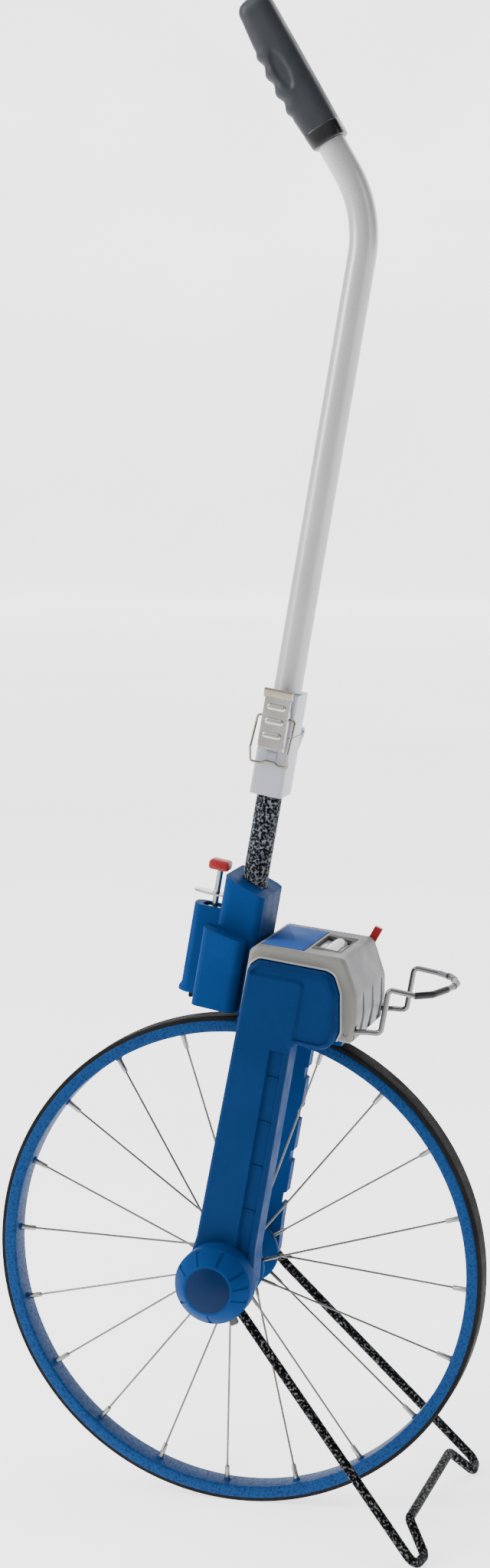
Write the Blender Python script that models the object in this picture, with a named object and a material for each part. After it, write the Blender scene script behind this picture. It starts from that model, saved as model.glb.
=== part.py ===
"""Measuring wheel with a fold-down handle, a kickstand, a brake and a mechanical counter.

Metres, +Z up, +X the way it travels, -Y the near side. The origin is the point of the
ground under the axle, where the tyre stands. Fork, counter, brake and handle are drawn
in the mast frame: it has its origin on the axle and leans LEAN_DEG forward, u runs
forward and w runs up the mast. All lengths below are in millimetres and all mesh
builders scale them by MM.
"""

from math import atan2, cos, degrees, pi, radians, sin, sqrt, tan

import bmesh
import bpy
from mathutils import Matrix, Vector

MM = 0.001
GAP = 0.3                       # between pieces that touch

# Wheel
LEAN_DEG = 10.5
CIRCUMFERENCE = 1250.0
TYRE_R = CIRCUMFERENCE / (2 * pi)
TYRE_SIDES = 64
AXLE_HEIGHT = TYRE_R * cos(pi / TYRE_SIDES)
RIM_OUT_R = 195.5
RIM_IN_R = 186.3
RIM_FLOOR_R = 190.0
RIM_HALF = 11.5
TYRE_HALF = 10.9
SPOKES = 20
SPOKE_PHASE_DEG = -3.9
FLANGE_R = 26.0
FLANGE_Y = 21.5
AXLE_R = 6.0
AXLE_NEAR = -56.6
AXLE_FAR = 47.0

# Fork
ARM_IN = 36.0
ARM_OUT = 57.0                  # the near arm is a deep tray over the belt drive
ARM_END_R = 28.0
FAR_OUT = 48.0                  # the far arm is a shallow one
FAR_END_R = 22.0
HEAD_IN = 44.3
WALL = 2.5
COVER_OUT = 60.0
FAR_COVER_OUT = 50.5
BOSS_R = 12.0
BOSS_OUT = 60.8
SHOULDER_W = 201.2
NOTCH_LOWS = (39.7, 75.6, 110.6, 145.7)
NOTCH_HEIGHT = 10.0

# Counter
BOX_HALF = 50.0
BOX_WALL_Y = 44.0
TRANSFER = (6.0, 227.0)
COUNTER = (31.5, 246.0)
COUNTER_RATIO = 1.25
PULLEY_R = 12.0
BELT_Y = (-56.0, -52.0)
GEAR_Y = (-40.3, -36.8)
DRUMS = 4
DRUM_R = 13.0
DRUM_WIDTH = 9.2
DRUM_PITCH = 9.6
DRUM_START = -19.4
RESET_PIVOT = (48.5, 264.0)

# Mast and handle
MAST_U = -40.0
SHAFT_R = 10.0
TUBE_R = 11.0
FOLD_W = 423.0
FOLD_Y = 21.0
FOLD_PIN_R = 2.5
BEND_W = 825.8
BEND_R = 95.0
BEND_DEG = 40.2
GRIP_FOOT = 60.0                # from the corner of the bend to the foot of the grip
GRIP_LENGTH = 118.0

# Latch
LEVER_PIVOT = (-20.5, 414.5)
WIRE_PIVOT = (-20.0, 437.5)

# Brake
BRAKE_U = -69.0
ROD_R = 2.5

# Stand and front bail
STAND_R = 3.75
BAIL_R = 2.0
BAIL_PIVOT = (63.0, 214.0)


# --- scene helpers -------------------------------------------------------------------

def clear_scene():
    for obj in list(bpy.data.objects):
        bpy.data.objects.remove(obj, do_unlink=True)


def material(name, colour, metallic=0.0, roughness=0.5):
    mat = bpy.data.materials.new(name)
    mat.use_nodes = True
    shader = mat.node_tree.nodes["Principled BSDF"]
    shader.inputs["Base Color"].default_value = (*colour, 1.0)
    shader.inputs["Metallic"].default_value = metallic
    shader.inputs["Roughness"].default_value = roughness
    mat.diffuse_color = (*colour, 1.0)
    return mat


def place(name, bm, mat=None, parent=None, origin=(0.0, 0.0, 0.0), turn=None):
    """Make an object of a bmesh drawn in its parent's frame, with its origin moved."""
    shift = Vector(origin)
    bmesh.ops.translate(bm, vec=-shift, verts=bm.verts)
    bmesh.ops.scale(bm, vec=(MM, MM, MM), verts=bm.verts)
    bmesh.ops.recalc_face_normals(bm, faces=bm.faces)
    mesh = bpy.data.meshes.new(name)
    bm.to_mesh(mesh)
    bm.free()
    mesh.shade_smooth()
    mesh.set_sharp_from_angle(angle=radians(35))
    if mat:
        mesh.materials.append(mat)
    obj = bpy.data.objects.new(name, mesh)
    bpy.context.scene.collection.objects.link(obj)
    obj.parent = parent
    obj.location = shift * MM
    if turn:
        obj.rotation_euler = turn
    return obj


def helper(name, bm, parent=None):
    """An operand of a Boolean: never part of the model itself."""
    obj = place(name, bm, parent=parent)
    obj.hide_render = True
    obj.display_type = 'WIRE'
    return obj


def boolean(obj, operation, operand):
    mod = obj.modifiers.new(operation.title(), 'BOOLEAN')
    mod.operation = operation
    mod.solver = 'EXACT'
    mod.object = operand


def cut(obj, name, bm):
    boolean(obj, 'DIFFERENCE', helper(f"{obj.name}_{name}", bm, obj.parent))


def join(obj, name, bm):
    boolean(obj, 'UNION', helper(f"{obj.name}_{name}", bm, obj.parent))


def soften(obj, width, segments=1, angle_deg=40.0):
    mod = obj.modifiers.new("Bevel", 'BEVEL')
    mod.width = width * MM
    mod.segments = segments
    mod.limit_method = 'ANGLE'
    mod.angle_limit = radians(angle_deg)


# --- shape builders ------------------------------------------------------------------

AXES = {
    'X': lambda a, b, h: (h, a, b),     # outline in (y, w), extruded along u
    'Y': lambda a, b, h: (a, h, b),     # outline in (u, w), extruded along y
    'Z': lambda a, b, h: (a, b, h),     # outline in (u, y), extruded along w
}


def prism(axis, outline, start, end, bm=None):
    """Extrude a closed outline from start to end along an axis."""
    bm = bm or bmesh.new()
    spot = AXES[axis]
    verts = [bm.verts.new(spot(a, b, start)) for a, b in outline]
    face = bm.faces.new(verts)
    grown = bmesh.ops.extrude_face_region(bm, geom=[face])
    moved = [g for g in grown["geom"] if isinstance(g, bmesh.types.BMVert)]
    bmesh.ops.translate(bm, vec=Vector(spot(0, 0, end - start)), verts=moved)
    return bm


def turned(axis, profile, sides, centre=(0.0, 0.0), phase=0.0, bm=None):
    """Turn a closed profile of (radius, height) round an axis through centre."""
    bm = bm or bmesh.new()
    spot = AXES[axis]
    rings = []
    for radius, height in profile:
        if radius == 0:
            rings.append([bm.verts.new(spot(centre[0], centre[1], height))] * sides)
            continue
        ring = []
        for i in range(sides):
            angle = phase + 2 * pi * i / sides
            a = centre[0] + radius * cos(angle)
            b = centre[1] + radius * sin(angle)
            ring.append(bm.verts.new(spot(a, b, height)))
        rings.append(ring)
    for j, ring in enumerate(rings):
        after = rings[(j + 1) % len(rings)]
        if profile[j][0] == 0 and profile[(j + 1) % len(profile)][0] == 0:
            continue
        for i in range(sides):
            k = (i + 1) % sides
            corners = []
            for vert in (ring[i], ring[k], after[k], after[i]):
                if vert not in corners:
                    corners.append(vert)
            bm.faces.new(corners)
    return bm


def disc(axis, radius, start, end, sides=16, centre=(0.0, 0.0), bm=None):
    profile = [(0, start), (radius, start), (radius, end), (0, end)]
    return turned(axis, profile, sides, centre, bm=bm)


def swept(path, radius, sides, bore=0.0):
    """Sweep a round section along a path, hollow if bore is given."""
    bm = bmesh.new()
    points = [Vector(p) for p in path]
    count = len(points)
    tangents = []
    for i in range(count):
        before = points[max(i - 1, 0)]
        after = points[min(i + 1, count - 1)]
        tangents.append((after - before).normalized())
    start = Vector((0, 0, 1)) if abs(tangents[0].z) < 0.9 else Vector((0, 1, 0))
    normal = tangents[0].cross(start).normalized()
    layers = []
    for i, point in enumerate(points):
        if i:
            turn = tangents[i - 1].rotation_difference(tangents[i])
            normal = (turn @ normal).normalized()
        side = tangents[i].cross(normal)
        layer = []
        for size in ([radius, bore] if bore else [radius]):
            ring = []
            for k in range(sides):
                angle = 2 * pi * (k + 0.5) / sides
                ring.append(bm.verts.new(point + size * (cos(angle) * normal + sin(angle) * side)))
            layer.append(ring)
        layers.append(layer)
    for first, second in zip(layers, layers[1:]):
        for ring, after in zip(first, second):
            for k in range(sides):
                n = (k + 1) % sides
                bm.faces.new((ring[k], ring[n], after[n], after[k]))
    for layer in (layers[0], layers[-1]):
        if not bore:
            bm.faces.new(layer[0])
            continue
        for k in range(sides):
            n = (k + 1) % sides
            bm.faces.new((layer[0][k], layer[0][n], layer[1][n], layer[1][k]))
    return bm


def rounded(points, bends, steps=3):
    """Replace each inner corner of a path by an arc; bends is one radius or one per corner."""
    points = [Vector(p) for p in points]
    if not isinstance(bends, list):
        bends = [bends] * (len(points) - 2)
    path = [points[0]]
    for before, corner, after, bend in zip(points, points[1:], points[2:], bends):
        back = (before - corner).normalized()
        ahead = (after - corner).normalized()
        turn = pi - back.angle(ahead)
        if turn < radians(4):
            path.append(corner)
            continue
        reach = bend * tan(turn / 2)
        centre = corner + (back + ahead).normalized() * bend / cos(turn / 2)
        axis = back.cross(ahead).normalized()
        arm = corner + back * reach - centre
        for step in range(steps + 1):
            spin = Matrix.Rotation(-turn * step / steps, 3, axis)
            path.append(centre + spin @ arm)
    path.append(points[-1])
    return path


def arc(centre, radius, start_deg, end_deg, steps):
    points = []
    for i in range(steps + 1):
        angle = radians(start_deg + (end_deg - start_deg) * i / steps)
        points.append((centre[0] + radius * cos(angle), centre[1] + radius * sin(angle)))
    return points


def box(low, high):
    """Corners of a rectangle, for a prism outline."""
    return [(low[0], low[1]), (high[0], low[1]), (high[0], high[1]), (low[0], high[1])]


def mirrored(half):
    """A path on the near side and its mirror image on the far side, as one path."""
    return half + [(x, -y, z) for x, y, z in reversed(half)]


# --- wheel ---------------------------------------------------------------------------

def build_tyre(wheel):
    inner = RIM_OUT_R + GAP
    profile = [
        (inner, -TYRE_HALF), (TYRE_R - 0.9, -TYRE_HALF), (TYRE_R, -TYRE_HALF + 1.2),
        (TYRE_R, TYRE_HALF - 1.2), (TYRE_R - 0.9, TYRE_HALF), (inner, TYRE_HALF),
    ]
    phase = pi / TYRE_SIDES     # a flat of the tread faces straight down
    place("tyre", turned('Y', profile, TYRE_SIDES, phase=phase), TYRE_BLACK, wheel)


def spoke_angles():
    return [radians(SPOKE_PHASE_DEG + 360 * i / SPOKES) for i in range(SPOKES)]


def spoke_side(i):
    return -FLANGE_Y if i % 2 else FLANGE_Y


def build_rim(wheel):
    """A channel open to the outside, with a hole through its floor for each nipple."""
    edge = RIM_HALF - 3.0
    half = [
        (RIM_IN_R, RIM_HALF - 1.2), (RIM_IN_R + 1.2, RIM_HALF), (RIM_OUT_R, RIM_HALF),
        (RIM_OUT_R, edge), (RIM_FLOOR_R, edge - 1.0),
    ]
    profile = [(r, -y) for r, y in half] + list(reversed(half))
    rim = place("rim", turned('Y', profile, TYRE_SIDES, phase=pi / TYRE_SIDES), RIM_BLUE, wheel)
    holes = bmesh.new()
    for angle in spoke_angles():
        axis = Vector((cos(angle), 0, sin(angle)))
        across = Vector((-sin(angle), 0, cos(angle)))
        ring = [axis * (RIM_IN_R - 4) + 2.6 * (cos(k * pi / 3) * across + sin(k * pi / 3) * Vector((0, 1, 0)))
                for k in range(6)]
        add_bar(holes, ring, axis * 9)
    cut(rim, "nipple_holes", holes)


def add_bar(bm, ring, along):
    """Add a closed bar: a ring of corners extruded along a vector."""
    verts = [bm.verts.new(p) for p in ring]
    face = bm.faces.new(verts)
    grown = bmesh.ops.extrude_face_region(bm, geom=[face])
    moved = [g for g in grown["geom"] if isinstance(g, bmesh.types.BMVert)]
    bmesh.ops.translate(bm, vec=along, verts=moved)


def build_spokes(wheel):
    """Each spoke runs from one hub flange to the middle of the rim; sides alternate."""
    start_r = FLANGE_R - 4.5
    for i, angle in enumerate(spoke_angles()):
        side = spoke_side(i)
        start = Vector((start_r * cos(angle), side, start_r * sin(angle)))
        end = Vector(((RIM_FLOOR_R + 0.2) * cos(angle), 0, (RIM_FLOOR_R + 0.2) * sin(angle)))
        length = (end - start).length
        profile = [
            (0, 0), (1.5, 0), (1.5, 17), (1.0, 18), (1.0, length - 14), (1.75, length - 13.5),
            (1.75, length), (0, length),
        ]
        bm = turned('Z', profile, 6)
        bm.transform(Vector((0, 0, 1)).rotation_difference(end - start).to_matrix().to_4x4())
        bmesh.ops.translate(bm, vec=start, verts=bm.verts)
        place(f"spoke_{i + 1:02d}", bm, STEEL, wheel)


def build_hub(wheel):
    neck = ARM_IN - 1.4
    half = [
        (AXLE_R + GAP, neck), (10.5, neck), (10.5, 27.5), (FLANGE_R - 4, FLANGE_Y + 5),
        (FLANGE_R, FLANGE_Y + 3), (FLANGE_R, FLANGE_Y - 3.5), (17, FLANGE_Y - 7.5),
    ]
    profile = [(r, -y) for r, y in half] + [(r, y) for r, y in reversed(half)]
    hub = place("hub_shell", turned('Y', profile, 24), COVER_BLUE, wheel)
    holes = bmesh.new()
    for i, angle in enumerate(spoke_angles()):
        side = spoke_side(i)
        axis = Vector((cos(angle), 0, sin(angle)))
        across = Vector((-sin(angle), 0, cos(angle)))
        middle = Vector((0, side * 0.985, 0)) + axis * (FLANGE_R - 7)
        ring = [middle + 2.3 * (cos(k * pi / 3) * across + sin(k * pi / 3) * Vector((0, 1, 0)))
                for k in range(6)]
        add_bar(holes, ring, axis * 12)
    cut(hub, "spoke_seats", holes)


def build_axle(wheel):
    profile = [(0, AXLE_NEAR), (AXLE_R - 1, AXLE_NEAR), (AXLE_R, AXLE_NEAR + 1),
               (AXLE_R, AXLE_FAR - 1), (AXLE_R - 1, AXLE_FAR), (0, AXLE_FAR)]
    place("axle", turned('Y', profile, 20), STEEL, wheel)


def pulley_profile(bore):
    low, high = BELT_Y
    flange = PULLEY_R + 1.6
    return [
        (bore, low - 0.6), (flange, low - 0.6), (flange, low - 0.3), (PULLEY_R, low - 0.2),
        (PULLEY_R, high + 0.2), (flange, high + 0.3), (flange, high + 0.7), (bore, high + 0.7),
    ]


def build_drive_pulley(wheel):
    place("drive_pulley", turned('Y', pulley_profile(AXLE_R + GAP), 20), PINION_WHITE, wheel)


# --- fork ----------------------------------------------------------------------------

def arm_outline(inset):
    """Near arm seen from the side: a round end on the axle and two nearly straight edges."""
    end = arc((0, 0), ARM_END_R - inset, -150, -30, 8)
    return end + [
        (24.4 - inset, 30), (24.5 - inset, SHOULDER_W), (-18.8 + inset, SHOULDER_W),
        (-23.5 + inset, 30),
    ]


def far_arm_outline(inset):
    end = arc((0, 0), FAR_END_R - inset, -150, -30, 8)
    return end + [
        (20.4 - inset, 26), (20.0 - inset, SHOULDER_W), (-18.8 + inset, SHOULDER_W),
        (-20.0 + inset, 26),
    ]


def head_outline(inset):
    """Upper part of the arm beside the counter."""
    i = inset
    return [
        (-19.0 + i, 198.5 + i), (47.5 - i * 0.5, 199.3 + i), (54.5 - i, 203.0 + i * 0.6),
        (57.5 - i, 214.0), (52.3 - i, 243.5), (46.0 - i * 0.8, 255.8 - i), (40.0, 257.8 - i),
        (-14.0 + i * 0.6, 255.6 - i), (-19.4 + i, 250.0 - i * 0.4),
    ]


def cover_outline(end_r, foot, front):
    """Arm and head in one plate, with the front edge of the arm part at front."""
    head = [(47.5, 199.3), (54.5, 203.0), (57.5, 214.0), (52.3, 243.5), (46.0, 255.8),
            (40.0, 257.8), (-14.0, 255.6), (-19.4, 250.0), (-19.0, 198.5)]
    return (arc((0, 0), end_r, -150, -30, 8) + [(front, foot), (front, 194.0), (front + 3, 199.0)]
            + head + [(-end_r * 0.84, foot)])


def build_near_arm(mast):
    """A tray that opens outward; its head stands beside the counter housing."""
    floor = -ARM_IN - WALL
    head_floor = -HEAD_IN - WALL
    arm = place("arm_near", prism('Y', arm_outline(0), -ARM_IN, -ARM_OUT), COVER_BLUE, mast)
    join(arm, "head", prism('Y', head_outline(0), -HEAD_IN, -ARM_OUT))
    cut(arm, "hollow", prism('Y', arm_outline(WALL), floor, -ARM_OUT - 2))
    cut(arm, "head_hollow", prism('Y', head_outline(WALL), head_floor, -ARM_OUT - 2))
    cut(arm, "throat", prism('Y', box((-16, 196), (21.5, 206)), head_floor, -ARM_OUT - 2))
    cut(arm, "bush_seat", disc('Y', 9.2, -ARM_IN + 2, -ARM_IN - 5, 20))
    cut(arm, "transfer_hole", disc('Y', 4.5, -HEAD_IN - 5, -HEAD_IN + 2, 16, TRANSFER))


def build_far_arm(mast):
    """A shallow tray with four notches in its front edge and a flat head."""
    arm = place("arm_far", prism('Y', far_arm_outline(0), ARM_IN, FAR_OUT), COVER_BLUE, mast)
    join(arm, "head", prism('Y', head_outline(0), HEAD_IN, FAR_OUT))
    hollow = [(u, min(w, 194.0)) for u, w in far_arm_outline(WALL)]
    cut(arm, "hollow", prism('Y', hollow, ARM_IN + WALL, FAR_OUT + 2))
    notches = bmesh.new()
    for low in NOTCH_LOWS:
        prism('Y', box((17.8, low), (24, low + NOTCH_HEIGHT)), ARM_IN - 1, FAR_OUT + 1, notches)
    cut(arm, "edge_notches", notches)
    cut(arm, "bush_seat", disc('Y', 9.2, ARM_IN - 2, ARM_IN + 5, 20))


def build_covers(mast):
    outline = cover_outline(ARM_END_R, 30, 24.5)
    near = place("cover_near", prism('Y', outline, -ARM_OUT - GAP, -COVER_OUT), COVER_BLUE, mast)
    cut(near, "stand_hole", disc('Y', STAND_R + 0.5, -ARM_OUT + 1, -COVER_OUT - 1))
    outline = cover_outline(17.0, 20, 15.0)
    far = place("cover_far", prism('Y', outline, FAR_OUT + GAP, FAR_COVER_OUT), COVER_BLUE, mast)
    join(far, "boss", disc('Y', BOSS_R, FAR_COVER_OUT - 1, BOSS_OUT, 24))
    cut(far, "stand_hole", disc('Y', STAND_R + 0.5, FAR_OUT - 1, BOSS_OUT + 1))


def build_bushes(mast):
    for name, side in (("bush_near", -1), ("bush_far", 1)):
        low = side * (ARM_IN - 0.6)
        high = side * (ARM_IN + WALL + 1.2)
        profile = [(AXLE_R + 0.4, low), (8.8, low), (8.8, high), (AXLE_R + 0.4, high)]
        place(name, turned('Y', profile, 20), BUSH_GREY, mast)


def build_frame_head(mast):
    """Socket for the mast, bridge plate over the tyre, brake guide and side pocket."""
    front = -23.6
    socket = [(-58, 207), (front, 207), (front, 297.5), (-58, 309)]
    head = place("frame_head", prism('Y', socket, -30, 30), COVER_BLUE, mast)
    soften(head, 4.0)
    plate_top = SHOULDER_W + 4.2
    join(head, "bridge", prism('Y', box((-25.0, SHOULDER_W + 0.4), (60, plate_top)), -43.7, 43.7))
    join(head, "web", prism('Y', box((-52, SHOULDER_W + 0.4), (-23.6, 209)), -20, 20))
    guide = [(-57, -9.5), (-57, 9.5), (-79, 9.5), (-84, 5.5), (-84, -5.5), (-79, -9.5)]
    join(head, "guide", prism('Z', guide, 208, 278))
    lip = [(-57, -10.8), (-57, 10.8), (-79.4, 10.8), (-85.4, 6.1), (-85.4, -6.1), (-79.4, -10.8)]
    join(head, "guide_lip", prism('Z', lip, 208, 211.5))
    pocket = [(-64, -41), (-60, -45), (-33, -45), (-29, -41), (-29, -29), (-64, -29)]
    join(head, "pocket", prism('Z', pocket, 209.5, 269))
    cut(head, "socket_bore", disc('Z', SHAFT_R + GAP + 0.1, 222, 320, 20, (MAST_U, 0)))
    channel = box((-77.2, -7), (-60.8, 7))
    cut(head, "guide_top", prism('Z', channel, 232, 300))
    cut(head, "guide_foot", prism('Z', channel, 190, 228))
    cut(head, "rod_hole", disc('Z', ROD_R + 0.5, 226, 234, 12, (BRAKE_U, 0)))
    cut(head, "leaf_slot", prism('Y', box((-59, 284.2), (-55.2, 290.4)), -7.6, 7.6))


# --- counter -------------------------------------------------------------------------

def box_front(inset):
    """Bulged front of the housing, from its foot to its top edge."""
    return [(68.5 - inset, 206), (69.0 - inset, 225), (66.0 - inset, 243), (55.0 - inset, 264)]


def build_counter_box(mast):
    outline = [(-23.2, 206)] + box_front(0) + [(51, 270), (-18.5, 265.8), (-23.2, 261)]
    housing = place("counter_box", prism('Y', outline, -BOX_HALF, BOX_HALF), HOUSING_GREY, mast)
    soften(housing, 1.6)
    inner = box_front(WALL)
    roof = 261.5
    hollow = [(-20.7, 200), (inner[0][0], 200)] + inner[1:3] + [(53.5, roof), (-20.7, roof)]
    cut(housing, "hollow", prism('Y', hollow, -BOX_WALL_Y + WALL, 22))
    cut(housing, "far_hollow", prism('Y', hollow, 25, BOX_WALL_Y - WALL))
    for name, side in (("near_recess", -1), ("far_recess", 1)):
        recess = [(p[0], min(p[1], 198)) if p[1] < 205 else p for p in head_outline(-0.5)]
        cut(housing, name, prism('Y', recess, side * BOX_WALL_Y, side * (BOX_HALF + 2)))
    cut(housing, "bail_room", prism('Y', box((60.4, 200), (65.8, 219)), -47.8, 47.8))
    cut(housing, "bail_seat", disc('Y', BAIL_R + 0.55, -BOX_HALF - 1, BOX_HALF + 1, 10, BAIL_PIVOT))
    for name, side in (("near_mouth", -1), ("far_mouth", 1)):
        cut(housing, name, prism('Y', box((62, 200), (75, 220.5)), side * 41.4, side * 46.6))
    cut(housing, "window_recess", prism('Z', box((19.5, -29), (44, 30)), 264.5, 275))
    cut(housing, "window", prism('Z', box((23.9, -21.3), (39.1, 21.3)), 258, 268))
    label_seat = [(-16.3, 265.0), (17.8, 267.0), (17.8, 272), (-16.3, 272)]
    cut(housing, "label_seat", prism('Y', label_seat, -41.3, 37.3))
    cut(housing, "transfer_hole", disc('Y', 4.5, -BOX_WALL_Y - 1, -BOX_WALL_Y + 4, 16, TRANSFER))
    cut(housing, "shaft_holes", disc('Y', 2.9, -BOX_WALL_Y + 0.5, 27, 14, COUNTER))
    cut(housing, "reset_seat", disc('Y', 2.2, 44.5, 52, 10, RESET_PIVOT))
    slots = bmesh.new()
    for middle in (-25, 5, 35):
        wedge = [(middle - 1.2, 240), (middle + 1.6, 240), (middle + 4.2, 209), (middle - 3.6, 209)]
        prism('X', wedge, 67.4, 75, slots)
    cut(housing, "front_slots", slots)


def build_label_and_lens(mast):
    label = [(-16.0, 265.4), (17.5, 267.4), (17.5, 268.2), (-16.0, 266.2)]
    place("label_plate", prism('Y', label, -41, 37), LABEL_BLUE, mast)
    dome = arc((31.5, 261.6), 7.2, 28, 152, 6)
    foot = [(24.2, 260.2), (38.8, 260.2), (38.8, 264.8), (41.5, 264.8), (41.5, 265.6)]
    lens = foot + dome + [(21.5, 265.6), (21.5, 264.8), (24.2, 264.8)]
    place("window_lens", prism('Y', lens, -21, 21), LENS_GREY, mast)


def gear_radii():
    """Pitch radii that give the counter ratio at the real distance of the two shafts."""
    distance = sqrt((COUNTER[0] - TRANSFER[0]) ** 2 + (COUNTER[1] - TRANSFER[1]) ** 2)
    small = distance / (1 + COUNTER_RATIO)
    return distance - small, small


def build_transfer_gear(mast):
    """Belt pulley outside the housing wall and gear inside it, on one spindle."""
    low, high = BELT_Y
    flange = PULLEY_R + 1.6
    gear = gear_radii()[0] - 0.25
    profile = [
        (0, low - 0.6), (flange, low - 0.6), (flange, low - 0.3), (PULLEY_R, low - 0.2),
        (PULLEY_R, high + 0.2), (flange, high + 0.3), (flange, high + 0.7), (4, high + 0.7),
        (4, GEAR_Y[0]), (gear, GEAR_Y[0]), (gear, GEAR_Y[1]), (4, GEAR_Y[1]), (4, GEAR_Y[1] + 2.5),
        (0, GEAR_Y[1] + 2.5),
    ]
    origin = (TRANSFER[0], 0, TRANSFER[1])
    place("transfer_gear", turned('Y', profile, 20, TRANSFER), PINION_WHITE, mast, origin)


def build_counter_shaft(mast):
    gear = gear_radii()[1] - 0.25
    low, high = GEAR_Y
    profile = [(0, -43.2), (2.5, -43.2), (2.5, low), (gear, low), (gear, high), (2.5, high),
               (2.5, 26), (0, 26)]
    origin = (COUNTER[0], 0, COUNTER[1])
    place("counter_shaft", turned('Y', profile, 20, COUNTER), STEEL, mast, origin)


def build_drums(mast):
    for i in range(DRUMS):
        low = DRUM_START + i * DRUM_PITCH
        high = low + DRUM_WIDTH
        profile = [(2.85, low), (DRUM_R, low), (DRUM_R, high), (2.85, high)]
        origin = (COUNTER[0], 0, COUNTER[1])
        place(f"drum_{i + 1}", turned('Y', profile, 20, COUNTER), DRUM_BLACK, mast, origin)


def build_belt(mast):
    """A flat closed band round both pulleys."""
    heading = degrees(atan2(TRANSFER[1], TRANSFER[0]))
    loops = []
    for radius in (PULLEY_R + 0.4, PULLEY_R + 1.5):
        upper = arc(TRANSFER, radius, heading - 90, heading + 90, 9)
        lower = arc((0, 0), radius, heading + 90, heading + 270, 9)
        loops.append(upper + lower)
    low, high = BELT_Y
    belt = place("belt", prism('Y', loops[1], low + 0.1, high - 0.1), BELT_BLACK, mast)
    cut(belt, "inside", prism('Y', loops[0], low - 2, high + 2))


def build_reset_lever(mast):
    u, w = RESET_PIVOT
    outline = arc((u, w), 3.8, 150, 330, 5) + [
        (u + 6.2, w + 6.5), (u + 8.2, w + 12.5), (u + 2.0, w + 14.0), (u - 1.0, w + 5.5),
    ]
    origin = (u, BOX_HALF + 2, w)
    bm = prism('Y', outline, BOX_HALF + 0.4, BOX_HALF + 4.4)
    lever = place("reset_lever", bm, RED_PLASTIC, mast, origin)
    join(lever, "pin", disc('Y', 1.8, BOX_HALF - 4.5, BOX_HALF + 2, 10, (u, w)))


# --- mast and handle -----------------------------------------------------------------

def build_lower_shaft(mast):
    low, high = 222.4, 414.0
    profile = [(SHAFT_R - 2, low), (SHAFT_R, low), (SHAFT_R, high), (SHAFT_R - 2, high)]
    place("lower_shaft", turned('Z', profile, 20, (MAST_U, 0)), HAMMERTONE_BLACK, mast)


def build_fold_brackets(mast):
    plan = [(-53, -14), (-51, -16), (-29, -16), (-27, -14), (-27, 14), (-29, 16), (-51, 16), (-53, 14)]
    lower = place("lower_bracket", prism('Z', plan, 375, FOLD_W - GAP), BRACKET_GREY, mast)
    for name, start, end in (("knuckle_a", -53, -47.2), ("knuckle_b", -32.8, -27)):
        join(lower, name, prism('X', eye_outline(-1), start, end))
    nib = [(-15, 411), (-16.6, 410), (-17.3, 408.5), (-17.3, 405), (-15, 403.5)]
    join(lower, "catch", prism('X', nib, -44, -36))
    cut(lower, "bore", disc('Z', SHAFT_R + GAP + 0.1, 370, 416, 20, (MAST_U, 0)))
    cut(lower, "pin_bore", disc('X', FOLD_PIN_R + GAP, -54, -26, 12, (FOLD_Y, FOLD_W)))

    origin = (MAST_U, FOLD_Y, FOLD_W)
    bm = prism('Z', plan, FOLD_W + GAP, 456)
    upper = place("upper_bracket", bm, BRACKET_GREY, mast, origin)
    join(upper, "knuckle", prism('X', eye_outline(1), -46.8, -33.2))
    y, w = LEVER_PIVOT
    lug = arc((y, w), 2.8, 180, 360, 5) + [(-17.7, 428), (-15, 431), (-15, 447), (-18, 447), (-23.3, 430)]
    for name, start in (("lug_a", -48.8), ("lug_b", -33.4)):
        join(upper, name, prism('X', lug, start, start + 2.2))
    cut(upper, "bore", disc('Z', TUBE_R + GAP + 0.1, 428, 470, 20, (MAST_U, 0)))
    cut(upper, "pin_bore", disc('X', FOLD_PIN_R + GAP, -54, -26, 12, (FOLD_Y, FOLD_W)))
    cut(upper, "latch_bore", disc('X', 1.8, -52, -28, 10, (y, w)))

    pin = disc('X', FOLD_PIN_R, -53.8, -26.2, 12, (FOLD_Y, FOLD_W))
    place("hinge_pin", pin, STEEL, mast)


def eye_outline(rising):
    """Hinge eye in (y, w): round about the pin, webbed to the block above (1) or below (-1)."""
    eye = arc((FOLD_Y, FOLD_W), 4.6, -178 * rising, 30 * rising, 10)
    return eye + [(15, FOLD_W + 12 * rising), (15, FOLD_W + (GAP + 0.2) * rising)]


def build_latch_lever(mast):
    y, w = LEVER_PIVOT
    web = [(-24.2, w), (-25.2, w), (-25.2, 453.5), (-28.4, 459.5), (-27.4, 460.2), (-24.2, 454.3)]
    origin = (MAST_U, y, w)
    lever = place("latch_lever", prism('X', web, -50.5, -29.5), STEEL, mast, origin)
    cheek = arc((y, w), 3.4, 200, 345, 5) + [(-17.1, 438), (-19, 441), (-24.4, 446), (-24.4, w)]
    for name, start in (("cheek_a", -50.5), ("cheek_b", -30.6)):
        join(lever, name, prism('X', cheek, start, start + 1.1))
    join(lever, "pivot_pin", disc('X', 1.4, -50.0, -30.0, 8, (y, w)))
    for k, rib in enumerate((446.5, 435.2, 424.0)):
        bump = [(-25.0, rib - 2.7), (-26.6, rib - 1.2), (-26.6, rib + 1.2), (-25.0, rib + 2.7)]
        join(lever, f"rib_{k}", prism('X', bump, -48.2, -32.4))
    cut(lever, "wire_bore", disc('X', 1.35, -52, -28, 8, WIRE_PIVOT))


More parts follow.
